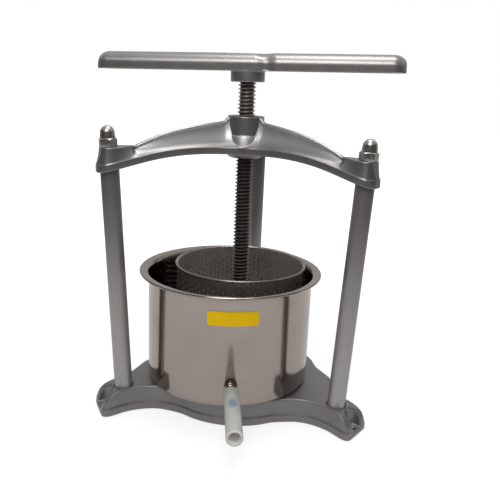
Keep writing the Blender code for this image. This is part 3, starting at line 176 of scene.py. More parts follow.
class VesselSizes(bpy.types.PropertyGroup):
    """Sizes of the pot, its spout, hose and label, and the basket."""

    pot_x: length("Where the pot stands along X", -0.0118)
    pot_y: length("Where the pot stands along Y", -0.0134)
    pot_front: rotation("Direction of the spout", 280.5)
    pot_radius: length("Outer radius of the pot's wall", 0.114)
    pot_bottom: length("Height of the pot's underside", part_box("pot")[0][2])
    pot_top: length("Height of the pot's rim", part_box("pot")[1][2])
    sheet: length("Thickness of the pot's and the basket's sheet", 0.0012)
    rim_radius: length("Outer radius of the pot's rim", 0.1267)
    lip_radius: length("Radius where the wall turns into the rim", 0.1178)
    spout_height: length("Height of the spout's axis", 0.062)
    spout_radius: length("Outer radius of the spout's pipe", 0.007)
    hose_radius: length("Outer radius of the hose", 0.010)
    hose_wall: length("Thickness of the hose's wall", 0.0027)
    hose_start: length("Distance from the pot's wall to the hose", 0.012)
    hose_length: length("Length of the hose", 0.106)
    label_width: length("Width of the plain label", 0.0655)
    label_height: length("Height of the plain label", 0.019)
    label_centre: length("Height of the label's middle", 0.1578)
    basket_radius: length("Outer radius of the basket's wall", 0.0895)
    basket_bottom: length("Height of the basket's lower edge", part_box("basket")[0][2])
    basket_top: length("Height of the basket's rim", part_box("basket")[1][2])
    hole_radius: length("Radius of the basket's holes", 0.0012)
    hole_columns: number("Columns of holes round the basket", 80, 12, 120)
    hole_rows: number("Holes in one column", 17, 2, 24)


class Finishes(bpy.types.PropertyGroup):
    """Colours of the press."""

    casting: colour("Silver-grey paint of the castings", (0.340, 0.333, 0.330))
    post: colour("Satin grey of the posts", (0.36, 0.35, 0.35))
    nickel: colour("Plate of the domed nuts", (0.58, 0.55, 0.52))
    zinc: colour("Plate of the hidden fasteners", (0.42, 0.42, 0.43))
    bronze: colour("Threaded bush", (0.42, 0.28, 0.13))
    screw: colour("Bright crests of the thread", (0.62, 0.60, 0.58))
    grease: colour("Dark grease in the thread", (0.11, 0.09, 0.078))
    # The pot's warm grey is the sheet's own grey with a painted reflection of a beige-brown room
    # in it.
    pot: colour("Polished sheet of the pot", (0.40, 0.352, 0.318))
    basket: colour("Sheet of the basket", (0.52, 0.475, 0.44))
    plate: colour("Machined press plate", (0.42, 0.42, 0.42))
    hose: colour("Milky silicone", (0.50, 0.50, 0.46))
    label: colour("Plain yellow sticker", (0.80, 0.50, 0.002))


def frame_sizes():
    return bpy.context.scene.press_frame


def screw_sizes():
    return bpy.context.scene.press_screw


def vessel_sizes():
    return bpy.context.scene.press_vessels


def finishes():
    return bpy.context.scene.press_finishes


# Modelling helpers

def let_go():
    """Leaves edit mode and selects nothing."""
    if bpy.context.object and bpy.context.object.mode != "OBJECT":
        bpy.ops.object.mode_set(mode="OBJECT")
    bpy.ops.object.select_all(action="DESELECT")


def take(piece):
    let_go()
    piece.select_set(True)
    bpy.context.view_layer.objects.active = piece


def named(name):
    piece = bpy.context.object
    piece.name = name
    piece.data.name = name
    return piece


def added(name, primitive, **settings):
    """Adds a primitive and leaves its place in its mesh."""
    let_go()
    primitive(**settings)
    piece = named(name)
    return put(piece, piece.matrix_world.copy())


def edit(piece, mode="VERT"):
    """Opens a piece in edit mode with everything selected."""
    take(piece)
    bpy.ops.object.mode_set(mode="EDIT")
    bpy.ops.mesh.select_mode(type=mode)
    bpy.ops.mesh.select_all(action="SELECT")


def sliced(piece, place, normal, **settings):
    """Cuts a piece's faces along a plane."""
    edit(piece)
    bpy.ops.mesh.bisect(plane_co=place, plane_no=normal, **settings)
    bpy.ops.object.mode_set(mode="OBJECT")


def settle(piece):
    """Merges what lies together and turns the faces outward."""
    edit(piece)
    bpy.ops.mesh.remove_doubles(threshold=2e-6)
    bpy.ops.mesh.normals_make_consistent(inside=False)
    bpy.ops.object.mode_set(mode="OBJECT")


def put(piece, place):
    """Moves a piece and leaves its place in its mesh."""
    take(piece)
    piece.matrix_world = place
    bpy.ops.object.transform_apply(location=True, rotation=True, scale=True)
    return piece


def copied(piece, name, place):
    take(piece)
    bpy.ops.object.duplicate(linked=False)
    return put(named(name), place)


def applied(piece, kind, **settings):
    """Adds one modifier with these settings and applies it."""
    take(piece)
    step = piece.modifiers.new(kind.title(), kind)
    for setting, value in settings.items():
        setattr(step, setting, value)
    bpy.ops.object.modifier_apply(modifier=step.name)
    if piece.modifiers:
        raise RuntimeError(f"{piece.name}: the {kind} modifier can't be applied")


def discard(*pieces):
    for piece in pieces:
        bpy.data.objects.remove(piece, do_unlink=True)


def carve(piece, tool, operation="DIFFERENCE"):
    """Cuts a solid from a piece, or joins it, and uses it up."""
    applied(piece, "BOOLEAN", operation=operation, solver="MANIFOLD", object=tool)
    discard(tool)


def select_edges(piece, wanted):
    """In edit mode, selects the edges whose middle and direction pass a test."""
    bpy.ops.mesh.select_all(action="DESELECT")
    mesh = bmesh.from_edit_mesh(piece.data)
    for edge in mesh.edges:
        first, second = (vert.co for vert in edge.verts)
        if wanted((first + second) / 2, (second - first).normalized()):
            edge.select_set(True)
    bmesh.update_edit_mesh(piece.data)


def drawn(name, profile):
    """A line of (radius, height) points in the XZ plane: one vertex, extruded along it."""
    piece = added(name, bpy.ops.mesh.primitive_plane_add, size=0.001)
    edit(piece)
    bpy.ops.mesh.merge(type="CENTER")
    here = Vector((profile[0][0], 0, profile[0][1]))
    bpy.ops.transform.translate(value=here)
    for radius, height in profile[1:]:
        there = Vector((radius, 0, height))
        bpy.ops.mesh.extrude_region_move(TRANSFORM_OT_translate={"value": there - here})
        here = there
    return piece


def turned(name, profile, steps, closed=False):
    """A solid of revolution about Z from a drawn profile; a closed one ends where it starts."""
    line = list(profile) + [profile[0]] if closed else profile
    piece = drawn(name, line)
    bpy.ops.mesh.select_all(action="SELECT")
    bpy.ops.mesh.spin(steps=steps, angle=2 * pi, center=(0, 0, 0), axis=(0, 0, 1))
    settle(piece)
    return piece


def rod(name, radius, low, high, steps):
    return turned(name, [(0, low), (radius, low), (radius, high), (0, high)], steps)


def skin(name, sections):
    """A closed skin: a filled ring is extruded from section to section, and set on each."""
    piece = added(name, bpy.ops.mesh.primitive_circle_add, vertices=len(sections[0]),
                  radius=0.01, fill_type="NGON")
    edit(piece)
    mesh = bmesh.from_edit_mesh(piece.data)
    order = mesh.verts.layers.int.new("order")
    for index, vert in enumerate(mesh.verts):
        vert[order] = index
        vert.co = sections[0][index]
    bmesh.update_edit_mesh(piece.data)
    for section in sections[1:]:
        bpy.ops.mesh.extrude_region_move(TRANSFORM_OT_translate={"value": (0, 0, 0)})
        mesh = bmesh.from_edit_mesh(piece.data)
        order = mesh.verts.layers.int["order"]
        for vert in mesh.verts:
            if vert.select:
                vert.co = section[vert[order]]
        bmesh.update_edit_mesh(piece.data)
    let_go()
    piece.data.attributes.remove(piece.data.attributes["order"])
    settle(piece)
    return piece


def arc(centre, radius, start, end, steps):
    """Points on an arc, both ends included."""
    points = []
    for step in range(steps + 1):
        angle = start + (end - start) * step / steps
        points.append((centre[0] + radius * cos(angle), centre[1] + radius * sin(angle)))
    return points


def lower_edge(outer, low, rounding, steps):
    """The rounded lower outer edge of a turned profile."""
    return arc((outer - rounding, low + rounding), rounding, -pi / 2, 0, steps)


def upper_edge(outer, high, rounding, steps):
    return arc((outer - rounding, high - rounding), rounding, 0, pi / 2, steps)


def chamfered(inner, outer, low, high, edge):
    """The profile of a plain ring or rod with cut outer edges."""
    return [(inner, low), (outer - edge, low), (outer, low + edge), (outer, high - edge),
            (outer - edge, high), (inner, high)]


def both_sides(side):
    """A closed section that is symmetric about its second axis, from one side's points."""
    return side + [(-across, up) for across, up in reversed(side)]


def quarter(steps):
    """Angles from 0 to 90 degrees, both ends included."""
    return [pi / 2 * step / steps for step in range(steps + 1)]


def between(rows, steps):
    """Rows of numbers along a Catmull-Rom curve through the given rows, which isn't closed."""
    found = []
    last = len(rows) - 1
    for index in range(last):
        before, start, end, after = (Vector(rows[min(max(index + shift, 0), last)])
                                     for shift in (-1, 0, 1, 2))
        for step in range(steps):
            found.append(on_curve(before, start, end, after, step / steps))
    found.append(Vector(rows[last]))
    return found


def on_curve(before, start, end, after, t):
    bend = (2 * before - 5 * start + 4 * end - after) * t * t
    twist = (3 * start - before - 3 * end + after) * t * t * t
    return (2 * start + (end - before) * t + bend + twist) / 2


def closed_curve(points, steps):
    """A closed Catmull-Rom curve through flat points."""
    count = len(points)
    found = []
    for index in range(count):
        before, start, end, after = (points[(index + shift) % count] for shift in (-1, 0, 1, 2))
        for step in range(steps):
            found.append(on_curve(before, start, end, after, step / steps))
    return found


def moved_in(outline, distance):
    """Moves each point of a counter-clockwise outline inward, square to its neighbours' chord."""
    found = []
    count = len(outline)
    for index, point in enumerate(outline):
        chord = outline[(index + 1) % count] - outline[index - 1]
        found.append(point + Vector((-chord.y, chord.x)).normalized() * distance)
    return found


def softened(piece, voxel, rounds, share):
    """Gives a carved solid the rounded edges of a casting."""
    applied(piece, "REMESH", mode="VOXEL", voxel_size=voxel)
    applied(piece, "SMOOTH", factor=0.5, iterations=rounds)
    applied(piece, "DECIMATE", ratio=share)
    take(piece)
    bpy.ops.object.shade_smooth()


def dressed(piece, finish, body, slot, *nodes, sharp=radians(32)):
    """Gives a finished piece its finish, its body and the nodes that it stands for. The slot is
    not used.
    """
    piece.data.materials.clear()
    piece.data.materials.append(finish)
    take(piece)
    if sharp:
        bpy.ops.object.shade_smooth_by_angle(angle=sharp)
    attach(piece, body)
    if nodes:
        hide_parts(*nodes)


def post_place(azimuth):
    """A post's frame: its origin at the base's top, +Z up along the post."""
    s = frame_sizes()
    at_base = Matrix.Translation((s.post_circle, 0, s.base_height))
    return Matrix.Rotation(azimuth, 4, "Z") @ at_base @ Matrix.Rotation(s.post_lean, 4, "Y")


def up_post(height):
    """Distance along a post from the base's top to a height."""
    s = frame_sizes()
    return (height - s.base_height) / cos(s.post_lean)


def pot_place():
    """The pot's frame: its origin on the pot's axis at the floor, +X to the spout."""
    s = vessel_sizes()
    return Matrix.Translation((s.pot_x, s.pot_y, 0)) @ Matrix.Rotation(s.pot_front, 4, "Z")


def spout_place():
    """Local +Z runs out along the spout from the pot's wall."""
    s = vessel_sizes()
    out = Matrix.Translation((s.pot_radius, 0, s.spout_height)) @ Matrix.Rotation(pi / 2, 4, "Y")
    return pot_place() @ out


# Materials

class Value:
    """A number that changes over a surface: Python's operators on it add Math nodes."""

    def __init__(self, nodes, socket):
        self.nodes = nodes
        self.socket = socket

    def _math(self, operation, first, second):
        return self.nodes.node("ShaderNodeMath", {"operation": operation}, {0: first, 1: second})

    def __add__(self, other):
        return self._math("ADD", self, other)

    def __radd__(self, other):
        return self._math("ADD", other, self)

    def __sub__(self, other):
        return self._math("SUBTRACT", self, other)

    def __rsub__(self, other):
        return self._math("SUBTRACT", other, self)

    def __mul__(self, other):
        return self._math("MULTIPLY", self, other)

    def __rmul__(self, other):
        return self._math("MULTIPLY", other, self)

    def __pow__(self, other):
        return self._math("POWER", self._math("ABSOLUTE", self, 0), other)


class Nodes:
    """The nodes of a material or a world."""

    def __init__(self, owner):
        owner.use_nodes = True
        self.tree = owner.node_tree

    def node(self, kind, settings=None, inputs=None, output=0):
        """Adds a node, with its settings first and then the values or links of its sockets."""
        made = self.tree.nodes.new(kind)
        for setting, value in (settings or {}).items():
            setattr(made, setting, value)
        for socket, value in (inputs or {}).items():
            self.feed(made.inputs[socket], value)
        return Value(self, made.outputs[output])

    def feed(self, socket, value):
        if isinstance(value, Value):
            self.tree.links.new(value.socket, socket)
        else:
            socket.default_value = value

    def ramp(self, factor, low, high, start=0.0, end=1.0):
        """From start below low to end above high, with a soft step between."""
        return self.node("ShaderNodeMapRange", {"interpolation_type": "SMOOTHSTEP"},
                         {"Value": factor, "From Min": low, "From Max": high,
                          "To Min": start, "To Max": end})


class Finish(Nodes):
    """A material under construction, with short ways to its usual nodes."""

    def __init__(self, name, **inputs):
        self.material = bpy.data.materials.new(name)
        super().__init__(self.material)
        self.shader = self.tree.nodes["Principled BSDF"]
        self.set(**inputs)
        self.place = self.node("ShaderNodeTexCoord", output="Object")

    def set(self, **inputs):
        for socket, value in inputs.items():
            self.feed(self.shader.inputs[socket.replace("_", " ")], value)

    def stretched(self, scale):
        return self.node("ShaderNodeMapping", {}, {"Vector": self.place, "Scale": scale})

    def noise(self, scale, detail, vector=None, roughness=0.5):
        return self.node("ShaderNodeTexNoise", {}, {"Vector": vector or self.place, "Scale": scale,
                                                    "Detail": detail, "Roughness": roughness})

    def along(self, axis):
        """The object's X, Y or Z coordinate in metres."""
        return self.node("ShaderNodeSeparateXYZ", {}, {0: self.place}, output=axis)

    def mix(self, factor, first, second):
        """A colour between two colours."""
        return self.node("ShaderNodeMix", {"data_type": "RGBA"},
                         {0: factor, 6: as_colour(first), 7: as_colour(second)}, output=2)

    def bump(self, height, distance, strength):
        return self.node("ShaderNodeBump", {}, {"Height": height, "Distance": distance,
                                                "Strength": strength})


def as_colour(value):
    return value if isinstance(value, Value) else (*value[:3], 1.0)


def shade(tone, factor, warmth=0.0):
    """A colour made lighter or darker, and a little warmer."""
    red, green, blue = tone[:3]
    return (red * factor * (1 + warmth), green * factor, blue * factor * (1 - warmth))


def distance_from_axis(f):
    """Distance of a point from the screw's axis."""
    flat = f.node("ShaderNodeVectorMath", {"operation": "MULTIPLY"}, {0: f.place, 1: (1, 1, 0)})
    return f.node("ShaderNodeVectorMath", {"operation": "LENGTH"}, {0: flat}, output="Value")


def web_light_share(f):
    """1 on the crossbeam's webs above the flange, and 0 on the flange, the pads and the boss: the
    mask of a painted highlight on the webs and of painted shade elsewhere.
    """
    s = frame_sizes()
    out = distance_from_axis(f)
    past = f.ramp(out, ARCH_FLAT, ARCH_FLAT + 0.2) * 0.2
    under = s.beam_height - past ** 2 * (0.5 / ARCH_BEND)
    above = f.ramp(f.along("Z") - under, 0.008, 0.026)
    pad = s.arm_reach * PAD_POINT
    near = f.ramp(out, s.boss_radius + 0.0004, s.boss_radius + 0.0012)
    return above * near * (1 - f.ramp(out, pad - 0.006, pad))


def casting_paint(name, tone, roughness=0.36, webs=False):
    """Silver paint: a fine grain, soft cloudy patches, and on the crossbeam a painted highlight on
    the webs, with painted shade on the flange, the pads and the boss.
    """
    f = Finish(name, Metallic=0.88)
    grain = f.noise(1500, 3.0)
    cloud = f.noise(38, 3.0)
    lumps = f.noise(120, 2.0)
    speck = f.ramp(f.noise(420, 4.0, roughness=0.7), 0.66, 0.78)
    # Painted light and shade on the crossbeam: the webs are made paler, and the flange, the pads
    # and the boss darker.
    if webs:
        tint = f.mix(web_light_share(f), shade(tone, 0.76, 0.01), shade(tone, 1.5))
    else:
        tint = f.mix(cloud, shade(tone, 0.93, 0.015), shade(tone, 1.06))
    f.set(Base_Color=f.mix(speck * 0.35, tint, shade(tone, 0.72)),
          Roughness=roughness - 0.06 + 0.12 * cloud + 0.05 * grain,
          Normal=f.bump(grain * 0.35 + lumps, 0.00016, 0.6))
    return f.material


def post_satin(name, tone):
    """Satin tube: fine marks along it, and a painted reflection that makes its lower end paler and
    its upper part darker and browner.
    """
    f = Finish(name, Metallic=0.55)
    streak = f.noise(1.0, 3.0, vector=f.stretched((900, 900, 14)))
    cloud = f.noise(22, 3.0)
    # Painted reflection: paler low down, where the tube would mirror the bright floor, darker and
    # browner higher up, where it would mirror a dark room.
    height = f.ramp(f.along("Z"), 0.06, 0.33)
    body = f.mix(height, shade(tone, 1.16, 0.01), shade(tone, 0.40, 0.05))
    f.set(Base_Color=f.mix(streak * 0.3 + cloud * 0.2, body, shade(tone, 0.7, 0.02)),
          Roughness=0.24 + 0.1 * streak + 0.08 * cloud,
          Normal=f.bump(streak, 0.00004, 0.5))
    return f.material


def plated(name, tone, roughness, metallic=1.0):
    """Plated steel with a slight cloud and fine handling marks."""
    f = Finish(name, Metallic=metallic)
    cloud = f.noise(160, 3.0)
    marks = f.ramp(f.noise(1.0, 4.0, vector=f.stretched((300, 300, 1400))), 0.45, 0.75)
    f.set(Base_Color=f.mix(cloud, shade(tone, 0.85, 0.03), shade(tone, 1.12)),
          Roughness=roughness + 0.10 * cloud + 0.06 * marks,
          Normal=f.bump(cloud + marks * 0.3, 0.00002, 0.4))
    return f.material


def screw_steel(name, bright, dark):
    """Machined steel that is bright on the crests and dark with grease in the grooves, with a
    painted highlight on the crests above the crossbeam's boss and painted shade in the grooves
    below it.
    """
    f = Finish(name, Metallic=0.9)
    s = screw_sizes()
    crest = f.ramp(distance_from_axis(f), s.root + 0.0002, s.radius - 0.0005)
    smear = f.noise(140, 4.0)
    # Painted light and shade: above the boss the crests are paler, and below it they are duller
    # and the grooves darker.
    low = f.ramp(f.along("Z"), 0.36, 0.41)
    crest_polish_and_glint = crest * (0.25 + 0.75 * low) * (0.4 + 0.6 * f.ramp(smear, 0.25, 0.6))
    groove = f.mix(low, shade(dark, 0.35, 0.1), dark)
    f.set(Base_Color=f.mix(crest_polish_and_glint, groove, bright),
          Roughness=0.42 - 0.2 * crest_polish_and_glint + 0.1 * smear,
          Normal=f.bump(smear, 0.0001, 0.5))
    return f.material


def pot_steel(name, tone):
    """Mirror sheet with a faint roll grain, soft stains and a little waviness."""
    f = Finish(name, Metallic=1.0)
    grain = f.noise(1.0, 3.0, vector=f.stretched((60, 60, 1600)))
    stain = f.noise(26, 4.0)
    wave = f.noise(9, 1.0)
    warm = f.mix(f.ramp(stain, 0.42, 0.75) * 0.6, tone, shade(tone, 0.86, 0.05))
    f.set(Base_Color=f.mix(grain * 0.25, warm, shade(tone, 0.9)),
          Roughness=0.07 + 0.06 * grain + 0.07 * stain,
          Normal=f.bump(wave + grain * 0.004, 0.0012, 0.5))
    return f.material


def basket_steel(name, tone):
    """Satin strainer sheet with upright roll marks, with painted shade on the outer face and a
    painted highlight on the inner one.
    """
    f = Finish(name, Metallic=0.85)
    streak = f.noise(1.0, 4.0, vector=f.stretched((240, 240, 6)))
    stain = f.noise(40, 3.0)
    s = vessel_sizes()
    # Painted light and shade: the inner face is made paler, and the outer face, in the gap to the
    # pot, darker.
    outside = f.ramp(distance_from_axis(f), s.basket_radius - 0.0006, s.basket_radius - 0.0003)
    sheet = f.mix(outside, shade(tone, 1.1), shade(tone, 0.5, 0.02))
    f.set(Base_Color=f.mix(f.ramp(streak, 0.30, 0.70) * 0.3, sheet, shade(tone, 0.75, 0.03)),
          Roughness=0.2 + 0.1 * streak + 0.06 * stain,
          Normal=f.bump(streak, 0.00003, 0.5))
    return f.material


def turned_metal(name, tone, roughness=0.25):
    """Machined metal with fine rings left by the tool."""
    f = Finish(name, Metallic=0.9)
    rings = f.node("ShaderNodeMath", {"operation": "SINE"}, {0: distance_from_axis(f) * 9000})
    cloud = f.noise(60, 3.0)
    f.set(Base_Color=f.mix(cloud, shade(tone, 0.88), shade(tone, 1.08)),
          Roughness=roughness + 0.1 * cloud + 0.03 * rings,
          Normal=f.bump(rings, 0.00003, 0.5))
    return f.material


def milky_silicone(name, tone):
    """Translucent hose: cloudy, with a painted bluish shadow where the spout's pipe shows through,
    and a painted glow that makes the bore and the cut end paler.
    """
    f = Finish(name, Subsurface_Weight=0.35, Subsurface_Scale=0.006, Transmission_Weight=0.25,
               IOR=1.41)
    s = vessel_sizes()
    wall = spout_place()
    up = Vector((0, 0, 1))
    out = wall.to_3x3() @ up
    along, across, over = (
        f.node("ShaderNodeVectorMath", {"operation": "DOT_PRODUCT"}, {0: f.place, 1: tuple(axis)},
               output="Value") - axis.dot(wall.translation)
        for axis in (out, out.cross(up), up))
    end = s.hose_start + s.hose_length
    # Painted shadow of the spout's pipe, as seen through the hose.
    spot = ((along - 0.054) * 80) ** 2 + (across * 160) ** 2
    pipe = (1 - f.ramp(spot, 0.35, 1.1)) * f.ramp(over, 0, 0.004)
    # Painted glow: the bore and the cut end are made paler than the hose's body.
    bore = s.hose_radius - s.hose_wall
    inside = 1 - f.ramp((across ** 2 + over ** 2) ** 0.5, bore + 0.0002, bore + 0.0008)
    cloud = f.noise(70, 3.0)
    body = f.mix(cloud, shade(tone, 0.90), shade(tone, 1.08))
    pale = f.mix(inside, shade(tone, 1.45), shade(tone, 1.9, -0.04))
    milk_and_painted_glow = f.mix(f.ramp(along, end - 0.003, end - 0.0003) * (1 - inside) + inside, body, pale)
    f.set(Base_Color=f.mix(pipe * 0.8, milk_and_painted_glow, (tone[0] * 0.42, tone[1] * 0.56, tone[2] * 0.90)),
          Roughness=0.26 + 0.14 * cloud,
          Normal=f.bump(f.noise(300, 2.0), 0.0001, 0.4))
    return f.material


def sticker(name, tone):
    """Smooth plain film with a slight unevenness."""
    f = Finish(name, Specular_IOR_Level=0.15)
    cloud = f.noise(55, 3.0)
    f.set(Base_Color=f.mix(cloud, shade(tone, 0.94), shade(tone, 1.04)),
          Roughness=0.33 + 0.12 * cloud,
          Normal=f.bump(f.noise(700, 2.0), 0.00003, 0.4))
    return f.material


# Base

def foot_point(azimuth, along, across):
    return (along * Vector((cos(azimuth), sin(azimuth)))
            + across * Vector((-sin(azimuth), cos(azimuth))))


def base_outline(steps):
    """The base's plan, counter-clockwise, from the middle of its front."""
    s = frame_sizes()
    foot, rear = AZIMUTHS["right"], AZIMUTHS["rear"]
    reach, half_width = s.foot_reach, s.foot_half_width
    half = [foot_point(foot + radians(angle), s.base_front, 0) for angle in FRONT_ARC]
    half += [foot_point(foot, along * reach, -across * half_width)
             for along, across in FOOT_FRONT_SIDE]
    half += [foot_point(foot, along * reach, across * half_width)
             for along, across in FOOT_WIDE_SIDE]
    half += [foot_point(foot + radians(angle), s.base_side, 0) for angle in SIDE_ARC]
    half += [foot_point(rear, along * reach, -across * half_width)
             for along, across in reversed(FOOT_WIDE_SIDE)]
    mirrored = [Vector((-point.x, point.y)) for point in reversed(half[1:])]
    return closed_curve(half + [foot_point(rear, reach, 0)] + mirrored, steps)


def base_block():
    s = frame_sizes()
    outline = base_outline(2)
    edge = 0.0018
    step = s.band_step
    levels = [(0, edge), (edge / 2, edge / 4), (edge, 0), (s.band_height - step, 0),
              (s.band_height - step / 2, step / 4), (s.band_height, step)]
    levels += [(s.base_height - edge + edge * sin(angle), step + 0.001 + edge * (1 - cos(angle)))
               for angle in quarter(3)]
    return skin("base_cast", [[(p.x, p.y, z) for p in closed_curve(moved_in(outline, inset), 3)]
                              for z, inset in levels])


def nose_tool(azimuth):
    """The solid above a foot's rounded outer top edge."""
    s = frame_sizes()
    length_out, edge_height = 0.0315, 0.004
    start = s.foot_reach - 0.0005 - length_out
    high = s.base_height + OVERRUN
    line = [(start, high)]
    fall = s.base_height - edge_height
    line += [(start + length_out * sin(angle), edge_height + fall * cos(angle))
             for angle in (radians(9 + 81 * step / 16) for step in range(17))]
    line += [(s.foot_reach + OVERRUN, edge_height), (s.foot_reach + OVERRUN, high)]
    wide = 2 * s.foot_half_width
    tool = skin("nose", [[(x, y, z) for x, z in line] for y in (-wide, wide)])
    return put(tool, Matrix.Rotation(azimuth, 4, "Z"))


def pocket_tool(azimuth):
    """The open pocket over a foot's bolt lug, wider at its top."""
    s = frame_sizes()
    centre, outer = s.foot_reach - LUG_INSET, s.foot_reach + OVERRUN
    sections = []
    for radius, height in ((0.010, s.lug_thickness), (0.013, s.base_height + OVERRUN)):
        bend = arc((centre, 0), radius, pi / 2, 3 * pi / 2, 20)
        plan = [(outer, radius)] + bend + [(outer, -radius)]
        sections.append([(x, y, height) for x, y in plan])
    return put(skin("pocket", sections), Matrix.Rotation(azimuth, 4, "Z"))


def lug_hole_tool(azimuth):
    s = frame_sizes()
    hole = rod("lug_hole", 0.0035, -OVERRUN, s.lug_thickness + OVERRUN, 32)
    out = Matrix.Translation((s.foot_reach - LUG_INSET, 0, 0))
    return put(hole, Matrix.Rotation(azimuth, 4, "Z") @ out)


def foot_bore_tool(azimuth):
    """Socket, rod bore and nut counterbore of one foot, along the post."""
    s = frame_sizes()
    socket, nut_bore, nut_floor = s.post_radius + 0.0009, 0.015, 0.016 - s.base_height
    below = -s.base_height - OVERRUN
    line = [(0, OVERRUN), (socket, OVERRUN), (socket, -FOOT_SOCKET), (ROD_BORE, -FOOT_SOCKET),
            (ROD_BORE, nut_floor), (nut_bore, nut_floor), (nut_bore, below), (0, below)]
    return put(turned("foot_bore", line, 64), post_place(azimuth))


def hollow_tool(azimuth):
    """One sector of the open underside, between two ribs, the hub and the outer wall."""
    s = frame_sizes()
    plan = []
    for radius, direction in ((s.base_front - s.base_wall, 1), (s.base_hub, -1)):
        reach = pi / 3 - asin(s.base_wall / 2 / radius)
        for step in range(31):
            angle = azimuth + pi + direction * reach * (step / 15 - 1)
            plan.append((radius * cos(angle), radius * sin(angle)))
    ceiling = s.base_height - s.base_wall
    return skin("hollow", [[(x, y, z) for x, y in plan] for z in (-OVERRUN, ceiling)])


class PRESS_OT_base(bpy.types.Operator):
    """Three-lobed base casting with its feet, bolt lugs and ribbed underside"""

    bl_idname = "press.base"
    bl_label = "Base"

    def execute(self, context):
        base = base_block()
        for azimuth in AZIMUTHS.values():
            for tool in (hollow_tool, nose_tool, pocket_tool, lug_hole_tool, foot_bore_tool):
                carve(base, tool(azimuth))
        softened(base, voxel=0.0011, rounds=4, share=0.5)
        # Painted shade: the base's paint is the castings' paint made darker.
        paint = casting_paint("base_paint", shade(finishes().casting, 0.78), roughness=0.42)
        dressed(base, paint, "root", "base_paint", "base", sharp=None)
        return {"FINISHED"}


# Crossbeam

def arch_height(radius):
    """Height of the crossbeam's underside at a distance from the axis."""
    s = frame_sizes()
    past = max(0, radius - ARCH_FLAT)
    straight = max(0, past - ARCH_CURVED)
    past -= straight
    fall = sqrt(ARCH_BEND ** 2 - past ** 2)
    return s.beam_height - ARCH_BEND + fall - straight * past / fall


def pad_circle():
    """Distance of a pad's middle from the axis."""
    s = frame_sizes()
    return s.post_circle + (s.pad_seat - s.base_height) * tan(s.post_lean)


def pad_top(radius):
    s = frame_sizes()
    return s.pad_seat - (radius - pad_circle()) * tan(s.post_lean)


def rib_top(radius):
    """Height of a rib's top edge, from a fillet at the boss along a bend to the pad's point."""
    s = frame_sizes()
    start_radius, slope, point = 0.027, 0.13, s.arm_reach * PAD_POINT
    fillet_radius, fillet_width, fillet_height = 0.0335, 0.008, 0.0062
    start = s.beam_height + 0.0428
    span = point - start_radius
    bend = start - slope * span - pad_top(point)
    past = max(0, radius - start_radius)
    fillet = min(1, max(0, fillet_radius - radius) / fillet_width)
    return start + fillet_height * fillet ** 2 - slope * past - bend * (past / span) ** 3


def arm_section(radius, flange_half, top_half, height_share, hollowness):
    """One closed section across an arm, symmetric about its middle.

    A narrow rib has a bead along its top, which fades where the rib widens into a pad.
    """
    s = frame_sizes()
    edge = 0.0008
    under = arch_height(max(radius, 0))
    flange_top = under + FLANGE
    full_top = pad_top(radius) if radius > s.arm_reach * PAD_POINT else rib_top(radius)
    top = flange_top + (full_top - flange_top) * height_share
    narrow = min(1, max(0, 1 - (top_half - 0.0032) / 0.002))
    bead = narrow * min(1, (top - flange_top) / 0.010)
    low = Vector((flange_half - edge, flange_top))
    cut = min(edge, (top - flange_top) / 2)
    high = Vector((top_half - 0.0010 * bead, top - max(0.0042 * bead, cut)))
    pull = ((low + high) / 2).lerp(Vector((high.x, low.y)), hollowness)
    side = [(flange_half - edge, under), (flange_half, under + edge),
            (flange_half, flange_top - edge)]
    for step in range(13):
        t = step / 12
        side.append(low * (1 - t) ** 2 + pull * 2 * t * (1 - t) + high * t ** 2)
    rim = min(edge + 0.0021 * bead, (top - flange_top) / 4)
    side.append((top_half, high.y + 0.0006 * bead))
    side += upper_edge(top_half, top, rim, 4)
    return [(radius, across, up) for across, up in both_sides(side)]


def arm(azimuth):
    s = frame_sizes()
    sections = [arm_section(share * s.arm_reach, flange * s.arm_half_width,
                            top * s.arm_half_width, height, hollowness)
                for share, flange, top, height, hollowness in between(ARM_STATIONS, 3)]
    return put(skin("arm", sections), Matrix.Rotation(azimuth, 4, "Z"))


def boss():
    """The round boss in the middle, with a rounded lower edge and a skirt on the flange."""
    s = frame_sizes()
    low, high = s.beam_height - s.boss_drop, s.beam_height + s.boss_rise
    line = [(0, low)] + lower_edge(s.boss_radius, low, s.boss_radius - 0.018, 8)
    line += upper_edge(s.boss_radius, high, 0.001, 3) + [(0, high)]
    cast = turned("boss", line, 96)
    flange = s.beam_height + FLANGE
    foot, top = 0.0296, flange + 0.0145
    skirt = [(0, flange - 0.002), (foot, flange - 0.002), (foot, flange + 0.0005)]
    skirt += upper_edge(0.0261, top, 0.001, 4) + [(0, top)]
    carve(cast, turned("skirt", skirt, 96), "UNION")
    return cast


def pad_bore_tool(azimuth):
    """Socket for the post and bore for its rod, along the post."""
    s = frame_sizes()
    under, seat = up_post(arch_height(pad_circle())), up_post(s.pad_seat)
    socket, floor, below = s.post_radius + 0.0006, under + PAD_SOCKET, under - 2 * OVERRUN
    line = [(0, below), (socket, below), (socket, floor), (ROD_BORE, floor),
            (ROD_BORE, seat + OVERRUN), (0, seat + OVERRUN)]
    return put(turned("pad_bore", line, 64), post_place(azimuth))


